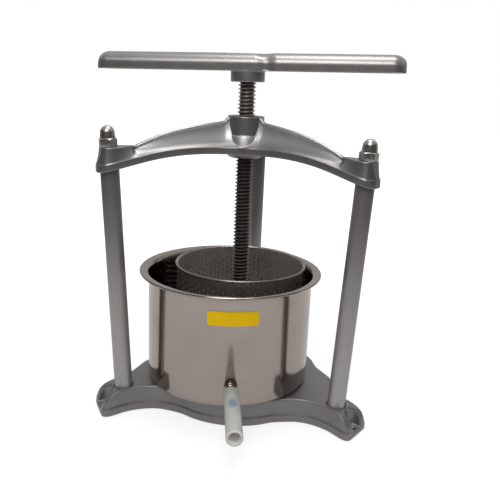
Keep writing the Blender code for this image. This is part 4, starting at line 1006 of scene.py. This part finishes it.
class PRESS_OT_crossbeam(bpy.types.Operator):
    """Three-armed crossbeam casting with ribs, pads and a centre boss"""

    bl_idname = "press.crossbeam"
    bl_label = "Crossbeam"

    def execute(self, context):
        s = frame_sizes()
        beam = boss()
        beam.name = "crossbeam_cast"
        for azimuth in AZIMUTHS.values():
            carve(beam, arm(azimuth), "UNION")
        bore = screw_sizes().nut_radius + SEAT_GAP
        carve(beam, rod("boss_bore", bore, s.beam_height - s.boss_drop - OVERRUN,
                        s.beam_height + s.boss_rise + OVERRUN, 64))
        for azimuth in AZIMUTHS.values():
            carve(beam, pad_bore_tool(azimuth))
        softened(beam, voxel=0.0007, rounds=2, share=0.44)
        # The crossbeam's paint carries a painted highlight on its webs and painted shade on its
        # flange, pads and boss.
        paint = casting_paint("crossbeam_paint", finishes().casting, webs=True)
        dressed(beam, paint, "root", "crossbeam_paint", "crossbeam", sharp=None)
        return {"FINISHED"}


# Posts and domed nuts

def post():
    """A post in its own frame, from the floor of its foot's socket to that of its pad's."""
    s = frame_sizes()
    low = SEAT_GAP - FOOT_SOCKET
    high = up_post(arch_height(pad_circle())) + PAD_SOCKET - SEAT_GAP
    line = chamfered(s.post_radius - 0.0015, s.post_radius, low, high, 0.0004)
    line[3:3] = [(s.post_radius, low + (high - low) * step / 12) for step in range(1, 12)]
    return turned("post", line, 96, closed=True)


def domed_nut():
    """A hexagon whose corners are turned off, with a tall dome and a blind bore."""
    s = frame_sizes()
    corner = s.nut_width / sqrt(3)
    nut = added("domed_nut", bpy.ops.mesh.primitive_cylinder_add, vertices=6, radius=corner,
                depth=s.nut_hexagon, location=(0, 0, s.nut_hexagon / 2))
    edit(nut, "EDGE")
    select_edges(nut, lambda middle, along: abs(along.z) > 0.9)
    bpy.ops.mesh.bevel(offset=0.0003, segments=2)
    turning = [(0, 0), (corner - 0.0016, 0), (corner + 0.0004, 0.0010),
               (corner + 0.0004, s.nut_hexagon - 0.0016), (corner - 0.0022, s.nut_hexagon),
               (0, s.nut_hexagon)]
    carve(nut, turned("turning", turning, 96), "INTERSECT")
    carve(nut, dome(s.nut_hexagon, s.nut_hexagon + s.nut_dome), "UNION")
    bore = [(0, -OVERRUN), (ROD_BORE, -OVERRUN), (ROD_BORE, 0.018), (0, 0.0215)]
    carve(nut, turned("blind_bore", bore, 64))
    applied(nut, "BEVEL", width=0.0002, segments=2, limit_method="ANGLE", angle_limit=radians(25))
    settle(nut)
    return nut


def dome(low, high):
    """A slightly tapered cap with a round top and a small step at its foot."""
    foot, crown = 0.0098, 0.00912
    line = [(0, low - 0.002), (foot, low - 0.002), (foot, low + 0.0004)]
    return turned("dome", line + upper_edge(crown, high, crown, 18), 96)


class PRESS_OT_posts(bpy.types.Operator):
    """Three leaning posts and the domed nuts above them"""

    bl_idname = "press.posts"
    bl_label = "Posts and domed nuts"

    def execute(self, context):
        satin = post_satin("post_satin", finishes().post)
        nickel = plated("nickel_plate", finishes().nickel, roughness=0.22)
        seat = up_post(frame_sizes().pad_seat) + SEAT_GAP
        first_post, first_nut = post(), domed_nut()
        for side, azimuth in AZIMUTHS.items():
            place = post_place(azimuth)
            tube = copied(first_post, "post_" + side, place)
            dressed(tube, satin, "root", "pillar_satin", "pillar_" + side)
            nut = copied(first_nut, "domed_nut_" + side, place @ Matrix.Translation((0, 0, seat)))
            dressed(nut, nickel, "root", "nickel", "dome_nut_" + side)
        discard(first_post, first_nut)
        return {"FINISHED"}


# Screw, bush and press plate

def thread(name, low, high, steps, crest, root, crest_half, root_half):
    """A threaded bar: one pitch of the thread is drawn, and the Screw modifier winds it up.

    It starts and ends more than a pitch outside its cuts, where the wound ends are still ragged.
    """
    s = screw_sizes()
    middle = s.shoulder + 0.00465
    middle -= s.pitch * (2 + int((middle - low) / s.pitch))
    flank = (s.pitch - 2 * crest_half - 2 * root_half) / 2
    ease = min(crest_half, 0.00035)
    line = [(root, middle - s.pitch / 2), (root, middle - crest_half - flank),
            (crest - ease, middle - crest_half), (crest, middle - crest_half + ease),
            (crest, middle + crest_half - ease), (crest - ease, middle + crest_half),
            (root, middle + crest_half + flank), (root, middle + s.pitch / 2)]
    piece = drawn(name, line)
    turns = int((high - low) / s.pitch) + 4
    applied(piece, "SCREW", axis="Z", angle=2 * pi, screw_offset=s.pitch, iterations=turns,
            steps=steps, render_steps=steps, use_merge_vertices=True, merge_threshold=1e-6)
    settle(piece)
    clear = 0.00004
    for height, normal in ((high - clear, (0, 0, 1)), (low + clear, (0, 0, -1))):
        sliced(piece, (0, 0, height), normal, clear_outer=True, use_fill=True)
    settle(piece)
    return piece


class PRESS_OT_screw(bpy.types.Operator):
    """Threaded screw with its plain ends"""

    bl_idname = "press.screw"
    bl_label = "Screw"

    def execute(self, context):
        s = screw_sizes()
        bar = thread("screw_thread", s.shoulder, s.top, s.thread_steps, s.radius, s.root,
                     crest_half=0.00045, root_half=0.00075)
        end, overlap, edge = s.plate_bottom + PLATE_RECESS - SEAT_GAP, 0.001, 0.0004
        journal, neck = 0.008, 0.009
        lower = [(BOLT_BORE, end), (journal - edge, end), (journal, end + edge),
                 (journal, s.shoulder + overlap), (BOLT_BORE, s.shoulder + 0.0001)]
        upper = [(0, s.top - overlap), (neck, s.top - overlap), (neck, s.top + SCREW_HEAD - edge),
                 (neck - edge, s.top + SCREW_HEAD), (0, s.top + SCREW_HEAD)]
        carve(bar, turned("upper_end", upper, 48), "UNION")
        carve(bar, turned("lower_end", lower, 48, closed=True), "UNION")
        carve(bar, rod("bolt_hole", BOLT_BORE, end - OVERRUN, end + 0.019, 32))
        steel = screw_steel("screw_steel", finishes().screw, finishes().grease)
        dressed(bar, steel, "screw", "screw_steel", "screw", sharp=radians(28))
        return {"FINISHED"}


class PRESS_OT_bush(bpy.types.Operator):
    """Threaded bush in the crossbeam's boss"""

    bl_idname = "press.bush"
    bl_label = "Threaded bush"

    def execute(self, context):
        s, f = screw_sizes(), frame_sizes()
        low = f.beam_height - f.boss_drop + 0.0012
        high = f.beam_height + f.boss_rise - 0.0012
        bush = turned("threaded_bush", chamfered(0, s.nut_radius, low, high, 0.0006), 64)
        past = 0.006
        carve(bush, thread("tap", low - past, high + past, 32, s.radius + 0.0005,
                           s.root + 0.00045, crest_half=0.00095, root_half=0.00035))
        bronze = turned_metal("nut_bronze", finishes().bronze, roughness=0.3)
        dressed(bush, bronze, "root", "nut_bronze", "screw_nut", sharp=radians(28))
        return {"FINISHED"}


class PRESS_OT_plate(bpy.types.Operator):
    """Round press plate with its hub, and the thrust washer over it"""

    bl_idname = "press.plate"
    bl_label = "Press plate"

    def execute(self, context):
        s = screw_sizes()
        low, top, hub_top = s.plate_bottom, s.plate_bottom + 0.008, s.plate_bottom + 0.026
        edge, bore, bore_edge, recess = 0.0015, 0.0083, 0.0005, 0.017
        hub, fillet, floor = 0.022, 0.006, low + PLATE_RECESS
        line = [(recess, low)] + lower_edge(s.plate_radius, low, edge, 6)
        line += upper_edge(s.plate_radius, top, edge, 6)
        line += arc((hub + fillet, top + fillet), fillet, 3 * pi / 2, pi, 8)
        line += upper_edge(hub, hub_top, edge, 5)
        line += [(bore + bore_edge, hub_top), (bore, hub_top - bore_edge), (bore, floor),
                 (recess, floor)]
        plate = turned("press_plate_turned", line, 96, closed=True)
        metal = turned_metal("plate_metal", finishes().plate)
        dressed(plate, metal, "press", "plate_metal", "press_plate")
        seat = hub_top + SEAT_GAP
        line = chamfered(bore, 0.015, seat, seat + 0.002, 0.0003)
        washer = turned("thrust_washer_turned", line, 64, closed=True)
        zinc = plated("zinc_washer", finishes().zinc, roughness=0.3)
        dressed(washer, zinc, "press", "zinc_steel", "thrust_washer")
        return {"FINISHED"}


# Handle

def bar_section(along, half_width, height):
    """One closed section across the bar, with a domed top."""
    s = screw_sizes()
    wide, tall, edge = min(s.crown_width, half_width), min(s.crown_height, height), 0.0008
    side = [(half_width - edge, 0), (half_width, edge)]
    side += [(half_width - wide * (1 - cos(angle)), height - tall * (1 - sin(angle)))
             for angle in quarter(16)]
    return [(along, across, s.bar_bottom + rise) for across, rise in both_sides(side)]


def domed_bar():
    """The bar from one rounded end to the other."""
    s = screw_sizes()
    half = [(s.bar_half_length - s.end_round * (1 - sin(angle)),
             s.bar_half_width - s.end_round * (1 - cos(angle)),
             s.bar_height - s.end_drop * (1 - cos(angle))) for angle in quarter(12)]
    left = [bar_section(-along, narrow, low) for along, narrow, low in reversed(half)]
    return skin("handle_cast", left + [bar_section(*item) for item in half])


def pocket_box(start, end):
    """A box with rounded corners, for the hollow in one half of the bar's underside."""
    s = screw_sizes()
    low, high, half = s.bar_bottom - OVERRUN, s.bar_bottom + 0.013, s.bar_half_width - 0.0045
    tool = added("hollow", bpy.ops.mesh.primitive_cube_add, size=1,
                 location=((start + end) / 2, 0, (low + high) / 2),
                 scale=(end - start, 2 * half, high - low))
    edit(tool, "EDGE")
    select_edges(tool, lambda middle, along: abs(along.z) > 0.9 or middle.z > high - 0.001)
    bpy.ops.mesh.bevel(offset=0.003, segments=4)
    settle(tool)
    return tool


def crease_sink(x, y):
    """How deep the crease is at a place in the bar's plan."""
    s = screw_sizes()
    spot, flat = Vector((x, y)), s.bar_half_width - s.crown_width
    half = (Vector((s.crease_reach, -s.bar_half_width)), Vector((s.crease_bend, -flat)))
    line = (*half, -half[1], -half[0])
    sink = 0
    for start, end, share in zip(line, line[1:], (1, 0.3, 1)):
        along = intersect_point_line(spot, start, end)[1]
        point = start.lerp(end, min(1, max(0, along)))
        near = max(0, 1 - (spot - point).length / s.crease_width)
        sink = max(sink, share * s.crease_depth * near * near * (3 - 2 * near))
    return sink


def pressed_crease(bar):
    """Sinks the crown along a bent line, so that each half ends in a rounded shoulder."""
    s = screw_sizes()
    core = s.bar_bottom + s.bar_height * 0.4
    for vert in bar.data.vertices:
        x, y, z = vert.co
        above = min(1, max(0, (z - s.bar_bottom + 0.0005) / 0.0015))
        push = Vector((y * 0.6, max(0, z - core))).normalized() * crease_sink(x, y) * above
        vert.co = (x, y - push.x, z - push.y)


class PRESS_OT_handle(bpy.types.Operator):
    """Two-armed handle bar with its hub"""

    bl_idname = "press.handle"
    bl_label = "Handle"

    def execute(self, context):
        s = screw_sizes()
        bar = domed_bar()
        inner, outer = 0.030, s.bar_half_length - s.end_round
        carve(bar, pocket_box(inner, outer))
        carve(bar, pocket_box(-outer, -inner))
        hub_top = s.bar_bottom + 0.010
        hub = [(0, s.hub_bottom)] + lower_edge(s.hub_radius, s.hub_bottom, 0.0012, 4)
        carve(bar, turned("hub", hub + [(s.hub_radius, hub_top), (0, hub_top)], 96), "UNION")
        ceiling = s.top + SCREW_HEAD + SEAT_GAP
        carve(bar, rod("hub_bore", 0.0096, s.hub_bottom - OVERRUN, ceiling, 64))
        hole = rod("set_screw_hole", BOLT_BORE, 0, s.hub_radius + OVERRUN, 32)
        lift = Matrix.Translation((0, 0, s.hub_bottom + 0.0075))
        carve(bar, put(hole, lift @ Matrix.Rotation(-pi / 2, 4, "X")))
        softened(bar, voxel=0.0008, rounds=3, share=0.8)
        pressed_crease(bar)
        tilt = Matrix.Translation((0, 0, s.bar_bottom)) @ Matrix.Rotation(-s.bar_tilt, 4, "Y")
        down = Matrix.Translation((0, 0, -s.bar_bottom))
        put(bar, Matrix.Rotation(s.bar_turn, 4, "Z") @ tilt @ down)
        # Painted shade: the handle's paint is the castings' paint made a little darker, which dims
        # its highlight.
        paint = casting_paint("handle_paint", shade(finishes().casting, 0.93))
        dressed(bar, paint, "screw", "handle_paint", "handle", sharp=None)
        return {"FINISHED"}


# Vessels

def pot_profile():
    """Outside from the floor's middle up to the rolled rim, then down the inside."""
    s = vessel_sizes()
    bead, corner = 0.0017, 0.007
    flange_under = s.pot_top - bead - s.sheet / 2
    foot = s.pot_top - 0.012
    cove = s.lip_radius - s.pot_radius
    line = [(0, s.pot_bottom)] + lower_edge(s.pot_radius, s.pot_bottom, corner, 10)
    line += [(s.pot_radius, s.pot_bottom + (foot - s.pot_bottom) * step / 10)
             for step in range(1, 11)]
    bend = quarter(10)
    rise = flange_under - foot
    line += [(s.pot_radius + cove * (1 - cos(angle)), foot + rise * sin(angle))
             for angle in bend[1:]]
    line += arc((s.rim_radius - bead, s.pot_top - bead), bead, -pi / 2, pi / 2, 12)
    line += [(s.pot_radius + cove * (1 - cos(angle)) - s.sheet * cos(angle),
              foot + rise * sin(angle) + s.sheet * sin(angle)) for angle in reversed(bend)]
    line += reversed(lower_edge(s.pot_radius - s.sheet, s.pot_bottom + s.sheet,
                                corner - s.sheet, 10))
    return line + [(0, s.pot_bottom + s.sheet)]


class PRESS_OT_pot(bpy.types.Operator):
    """Steel pot with its rolled rim and the hole for its spout"""

    bl_idname = "press.pot"
    bl_label = "Pot"

    def execute(self, context):
        s = vessel_sizes()
        pot = put(turned("pot_sheet", pot_profile(), 192), pot_place())
        hole = rod("spout_hole", s.spout_radius + SEAT_GAP, -0.008, 0.008, 48)
        carve(pot, put(hole, spout_place()))
        # The pot's tone carries a painted reflection of a beige-brown room.
        steel = pot_steel("pot_steel", finishes().pot)
        dressed(pot, steel, "pot", "pot_steel", "pot")
        return {"FINISHED"}


class PRESS_OT_spout(bpy.types.Operator):
    """Spout pipe with its collar"""

    bl_idname = "press.spout"
    bl_label = "Spout"

    def execute(self, context):
        s = vessel_sizes()
        low, reach, inner, outer = -0.0015, 0.050, s.spout_radius - s.sheet, s.spout_radius
        collar_low, collar_high, collar, rounding = SEAT_GAP, SEAT_GAP + 0.003, 0.0098, 0.0012
        edge = 0.0006
        line = [(inner, low), (outer, low), (outer, collar_low), (collar - edge, collar_low)]
        line += arc((collar - rounding, collar_low + 0.0015), rounding, -pi / 3, pi / 2, 6)
        line += [(outer + edge, collar_high), (outer, collar_high + edge),
                 (outer, reach - edge / 2), (outer - edge / 2, reach), (inner, reach)]
        pipe = put(turned("spout_pipe", line, 64, closed=True), spout_place())
        # The pot's tone, with its painted reflection of a beige-brown room, made a little warmer.
        steel = plated("spout_steel", shade(finishes().pot, 0.9, 0.08), roughness=0.14)
        dressed(pipe, steel, "pot", "spout_steel", "spout")
        return {"FINISHED"}


class PRESS_OT_hose(bpy.types.Operator):
    """Short milky hose pushed on the spout"""

    bl_idname = "press.hose"
    bl_label = "Hose"

    def execute(self, context):
        s = vessel_sizes()
        start, end = s.hose_start, s.hose_start + s.hose_length
        bore, edge = s.hose_radius - s.hose_wall, 0.0008
        line = [(bore, start)] + lower_edge(s.hose_radius, start, edge, 3)
        line += upper_edge(s.hose_radius, end, edge, 3)
        line += [(bore + edge / 2, end), (bore, end - edge / 2)]
        hose = put(turned("hose_tube", line, 64, closed=True), spout_place())
        silicone = milky_silicone("hose_silicone", finishes().hose)
        dressed(hose, silicone, "pot", "hose_silicone", "hose")
        return {"FINISHED"}


class PRESS_OT_label(bpy.types.Operator):
    """Plain yellow label on the pot"""

    bl_idname = "press.label"
    bl_label = "Label"

    def execute(self, context):
        s = vessel_sizes()
        inner = s.pot_radius + SEAT_GAP
        half = s.label_width / 2
        label = added("plain_label", bpy.ops.mesh.primitive_plane_add, size=1)
        put(label, Matrix.Diagonal((s.label_width, s.label_height, 1, 1)))
        edit(label)
        bpy.ops.mesh.bevel(offset=0.0008, segments=4, affect="VERTICES")
        for step in range(1, 24):
            sliced(label, (half * (step / 12 - 1), 0, 0), (1, 0, 0))
        for vert in label.data.vertices:
            vert.co = rolled(vert.co, inner, s.label_centre)
        settle(label)
        applied(label, "SOLIDIFY", thickness=0.0003, offset=1)
        put(label, pot_place())
        dressed(label, sticker("label_yellow", finishes().label), "pot", "label_yellow", "label")
        return {"FINISHED"}


def rolled(point, radius, height):
    """A point of a flat sheet once the sheet is rolled about Z."""
    angle = point.x / radius
    return radius * cos(angle), radius * sin(angle), height + point.y


def repeated(piece, count, step):
    applied(piece, "ARRAY", count=count, use_relative_offset=False, use_constant_offset=True,
            constant_offset_displace=step, use_merge_vertices=True, merge_threshold=1e-5)


def perforated_cell():
    """One cell of the basket's wall, flat and with a hole in its middle, and the cell's width."""
    s = vessel_sizes()
    width = 2 * pi * s.basket_radius / s.hole_columns
    middle = Vector((width / 2, HOLE_PITCH / 2, 0))
    wall = added("basket_sheet", bpy.ops.mesh.primitive_plane_add, size=1)
    put(wall, Matrix.Translation(middle) @ Matrix.Diagonal((width, HOLE_PITCH, 1, 1)))
    edit(wall, "FACE")
    bpy.ops.mesh.subdivide(number_cuts=1)
    bpy.ops.mesh.select_all(action="DESELECT")
    mesh = bmesh.from_edit_mesh(wall.data)
    centre = min(mesh.verts, key=lambda vert: (vert.co - middle).length)
    for face in centre.link_faces:
        face.select_set(True)
    bmesh.update_edit_mesh(wall.data)
    bpy.ops.mesh.inset(thickness=0.0016, use_boundary=True)
    bpy.ops.mesh.inset(thickness=0.0003)
    mesh = bmesh.from_edit_mesh(wall.data)
    for vert in {vert for face in mesh.faces if face.select for vert in face.verts}:
        away = vert.co - middle
        if away.length > 1e-6:
            vert.co = middle + away.normalized() * s.hole_radius
    bmesh.update_edit_mesh(wall.data)
    bpy.ops.mesh.delete(type="FACE")
    let_go()
    return wall, width


def basket_wall():
    """The cell is arrayed flat and rolled up; with the heights where the plain edges begin."""
    s = vessel_sizes()
    wall, width = perforated_cell()
    margin = (s.basket_top - s.basket_bottom - HOLE_PITCH * (s.hole_rows + 0.5)) / 2
    repeated(wall, s.hole_rows, (0, HOLE_PITCH, 0))
    edit(wall)
    bpy.ops.mesh.duplicate_move(TRANSFORM_OT_translate={"value": (width, HOLE_PITCH / 2, 0)})
    repeated(wall, s.hole_columns // 2, (2 * width, 0, 0))
    low = s.basket_bottom + margin
    for vert in wall.data.vertices:
        vert.co = rolled(vert.co, s.basket_radius, low)
    settle(wall)
    low, high = low + HOLE_PITCH / 2, low + HOLE_PITCH * s.hole_rows
    sliced(wall, (0, 0, low), (0, 0, -1), clear_outer=True)
    sliced(wall, (0, 0, high), (0, 0, 1), clear_outer=True)
    return wall, low, high


class PRESS_OT_basket(bpy.types.Operator):
    """Perforated basket with its rolled rim"""

    bl_idname = "press.basket"
    bl_label = "Basket"

    def execute(self, context):
        s = vessel_sizes()
        bead, outer, inner, top = 0.0016, s.basket_radius, s.basket_radius - s.sheet, s.basket_top
        wall, low, high = basket_wall()
        applied(wall, "SOLIDIFY", thickness=s.sheet, offset=-1)
        line = [(inner, s.basket_bottom), (outer, s.basket_bottom), (outer, low), (inner, low)]
        foot = turned("basket_foot", line, s.hole_columns, closed=True)
        curl = arc((outer - s.sheet / 2 + bead, top - bead), bead, -3 * pi / 4, pi / 2, 10)
        line = [(inner, high), (outer, high), (outer, top - 3 * bead), *curl, (inner, top - bead)]
        rim = turned("basket_rim", line, s.hole_columns, closed=True)
        take(wall)
        foot.select_set(True)
        rim.select_set(True)
        bpy.ops.object.join()
        steel = basket_steel("basket_steel", finishes().basket)
        dressed(wall, steel, "basket", "basket_steel", "basket")
        return {"FINISHED"}


# CAD nodes that keep their shape

class PRESS_OT_fasteners(bpy.types.Operator):
    """Finishes of the rods, nuts, washers and screws that keep their CAD shape"""

    bl_idname = "press.fasteners"
    bl_label = "Fasteners"

    def execute(self, context):
        zinc = plated("zinc_plate", finishes().zinc, roughness=0.26)
        black = plated("black_steel", (0.035, 0.033, 0.032), roughness=0.4, metallic=0.8)
        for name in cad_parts:
            if name.startswith(("tie_rod", "base_nut", "base_washer", "retaining")):
                self.repaint(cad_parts[name], zinc)
        self.repaint(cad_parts["handle_set_screw"], black)
        return {"FINISHED"}

    def repaint(self, node, finish):
        for slot in node.material_slots:
            slot.material = finish


# Stage

CAMERA_PLACE = (0.107, -0.8723, 0.4511)
CAMERA_AZIMUTH = radians(6.99)
CAMERA_YAW = radians(0.82)
CAMERA_PITCH = radians(15.08)
CAMERA_ROLL = radians(2.41)
CAMERA_SENSOR = 36
CAMERA_LENS = 643.67 / 500 * CAMERA_SENSOR
CARD_RADIUS, CARD_HEIGHT = 1.0, 0.8
DOME_RADIUS = 4.0


def add_camera():
    forward = Vector((sin(CAMERA_YAW) * cos(CAMERA_PITCH), cos(CAMERA_YAW) * cos(CAMERA_PITCH),
                      -sin(CAMERA_PITCH)))
    level = Vector((cos(CAMERA_YAW), -sin(CAMERA_YAW), 0))
    upright = level.cross(forward)
    right = cos(CAMERA_ROLL) * level + sin(CAMERA_ROLL) * upright
    up = -sin(CAMERA_ROLL) * level + cos(CAMERA_ROLL) * upright
    turn = Matrix.Rotation(CAMERA_AZIMUTH, 4, "Z")
    place = Matrix((right, up, -forward)).transposed().to_4x4()
    let_go()
    bpy.ops.object.camera_add()
    camera = bpy.context.object
    camera.name = "camera"
    camera.matrix_world = Matrix.Translation(CAMERA_PLACE) @ turn @ place
    camera.data.lens = CAMERA_LENS
    camera.data.sensor_width = CAMERA_SENSOR
    camera.data.sensor_fit = "HORIZONTAL"
    bpy.context.scene.camera = camera


def add_lamp(name, place, aim, size, watts):
    let_go()
    bpy.ops.object.light_add(type="AREA", location=place)
    lamp = bpy.context.object
    lamp.name = name
    lamp.rotation_euler = (Vector(aim) - Vector(place)).to_track_quat("-Z", "Y").to_euler()
    lamp.data.shape = "DISK"
    lamp.data.size = size
    lamp.data.energy = watts


def clear_rays(nodes, share=1.0):
    """1 for camera rays, and a share of it for the glossy and transmission rays."""
    camera, glossy, transmission = (
        nodes.node("ShaderNodeLightPath", output=f"Is {kind} Ray")
        for kind in ("Camera", "Glossy", "Transmission"))
    return camera + glossy * share + transmission * share


def add_world(dim):
    """A plain white world, dimmer as a light than as a background."""
    world = bpy.data.worlds.new("studio")
    bpy.context.scene.world = world
    nodes = Nodes(world)
    backdrop = nodes.tree.nodes["Background"]
    nodes.feed(backdrop.inputs["Color"], (1, 1, 1, 1))
    level = nodes.node("ShaderNodeMapRange", {}, {"Value": clear_rays(nodes), "To Min": dim})
    nodes.feed(backdrop.inputs["Strength"], level)


def seen_in_reflections(shell, name, dark, pale):
    """Gives a shell a glowing grey from front to back, and hides it from all but reflections."""
    surface = bpy.data.materials.new(name)
    nodes = Nodes(surface)
    nodes.tree.nodes.remove(nodes.tree.nodes["Principled BSDF"])
    place = nodes.node("ShaderNodeTexCoord", output="Object")
    back = nodes.node("ShaderNodeSeparateXYZ", {}, {0: place}, output="Y")
    grey = nodes.ramp(back, -0.3, 0.9, dark, pale)
    glow = nodes.node("ShaderNodeEmission", {}, {"Strength": grey})
    nodes.feed(nodes.tree.nodes["Material Output"].inputs["Surface"], glow)
    shell.data.materials.append(surface)
    for ray in ("camera", "diffuse", "transmission", "volume_scatter", "shadow"):
        setattr(shell, "visible_" + ray, False)


def add_cards():
    """A low ring and a wide dome, which stand for the walls and the ceiling in reflections."""
    ring = added("ring_card", bpy.ops.mesh.primitive_cylinder_add, vertices=96, radius=CARD_RADIUS,
                 depth=CARD_HEIGHT, end_fill_type="NOTHING", location=(0, 0, CARD_HEIGHT / 2))
    seen_in_reflections(ring, "ring_grey", dark=0.06, pale=0.50)
    cover = added("dome_card", bpy.ops.mesh.primitive_uv_sphere_add, segments=48, ring_count=24,
                  radius=DOME_RADIUS)
    sliced(cover, (0, 0, 0), (0, 0, 1), clear_inner=True)
    seen_in_reflections(cover, "dome_grey", dark=0.30, pale=0.60)


def add_floor():
    """A floor that is grey as a surface and glows white as a background."""
    floor = added("floor", bpy.ops.mesh.primitive_circle_add, vertices=96, radius=6,
                  fill_type="NGON", location=(0, 0, -0.0005))
    f = Finish("floor_white", Base_Color=(0.36, 0.36, 0.36, 1), Roughness=0.9,
               Specular_IOR_Level=0.0, Emission_Color=(1, 1, 1, 1))
    reach = f.node("ShaderNodeVectorMath", {"operation": "LENGTH"}, {0: f.place}, output="Value")
    f.set(Emission_Strength=clear_rays(f, 0.45) * f.ramp(reach, 0.35, 0.95, 0.70, 1.0))
    floor.data.materials.append(f.material)


class PRESS_OT_stage(bpy.types.Operator):
    """White floor and world, two soft lamps, grey cards for the reflections, and the camera"""

    bl_idname = "press.stage"
    bl_label = "Stage"

    def execute(self, context):
        scene = context.scene
        scene.view_settings.view_transform = "Standard"
        add_world(dim=0.6)
        add_floor()
        add_lamp("overhead", (0.1, 0.20, 2.3), aim=(0, 0, 0.2), size=1.0, watts=16)
        add_lamp("front_high", (-0.10, -1.35, 1.65), aim=(0, 0, 0.35), size=1.1, watts=17)
        add_cards()
        add_camera()
        return {"FINISHED"}


PARTS = (PRESS_OT_base, PRESS_OT_crossbeam, PRESS_OT_posts, PRESS_OT_screw, PRESS_OT_bush,
         PRESS_OT_plate, PRESS_OT_handle, PRESS_OT_pot, PRESS_OT_spout, PRESS_OT_hose,
         PRESS_OT_label, PRESS_OT_basket, PRESS_OT_fasteners)
GROUPS = {"press_frame": FrameSizes, "press_screw": ScrewSizes, "press_vessels": VesselSizes,
          "press_finishes": Finishes}


class PRESS_PT_panel(bpy.types.Panel):
    """Sidebar panel with the press's pieces, sizes and colours"""

    bl_idname = "PRESS_PT_panel"
    bl_label = "Fruit press"
    bl_space_type = "VIEW_3D"
    bl_region_type = "UI"
    bl_category = "Fruit press"

    def draw(self, context):
        layout = self.layout
        for part in PARTS + (PRESS_OT_stage,):
            layout.operator(part.bl_idname)
        for group, kind in GROUPS.items():
            box = layout.box()
            for size in kind.__annotations__:
                label = size.replace("_", " ").capitalize()
                box.prop(getattr(context.scene, group), size, text=label)


CLASSES = tuple(GROUPS.values()) + PARTS + (PRESS_OT_stage, PRESS_PT_panel)


def register():
    for item in CLASSES:
        bpy.utils.register_class(item)
    for group, kind in GROUPS.items():
        setattr(bpy.types.Scene, group, PointerProperty(type=kind))


def unregister():
    for group in GROUPS:
        delattr(bpy.types.Scene, group)
    for item in reversed(CLASSES):
        bpy.utils.unregister_class(item)


def main():
    register()
    for part in (PRESS_OT_stage,) + PARTS:
        area, name = part.bl_idname.split(".")
        getattr(getattr(bpy.ops, area), name)()
    let_go()


if __name__ == "__main__":
    main()
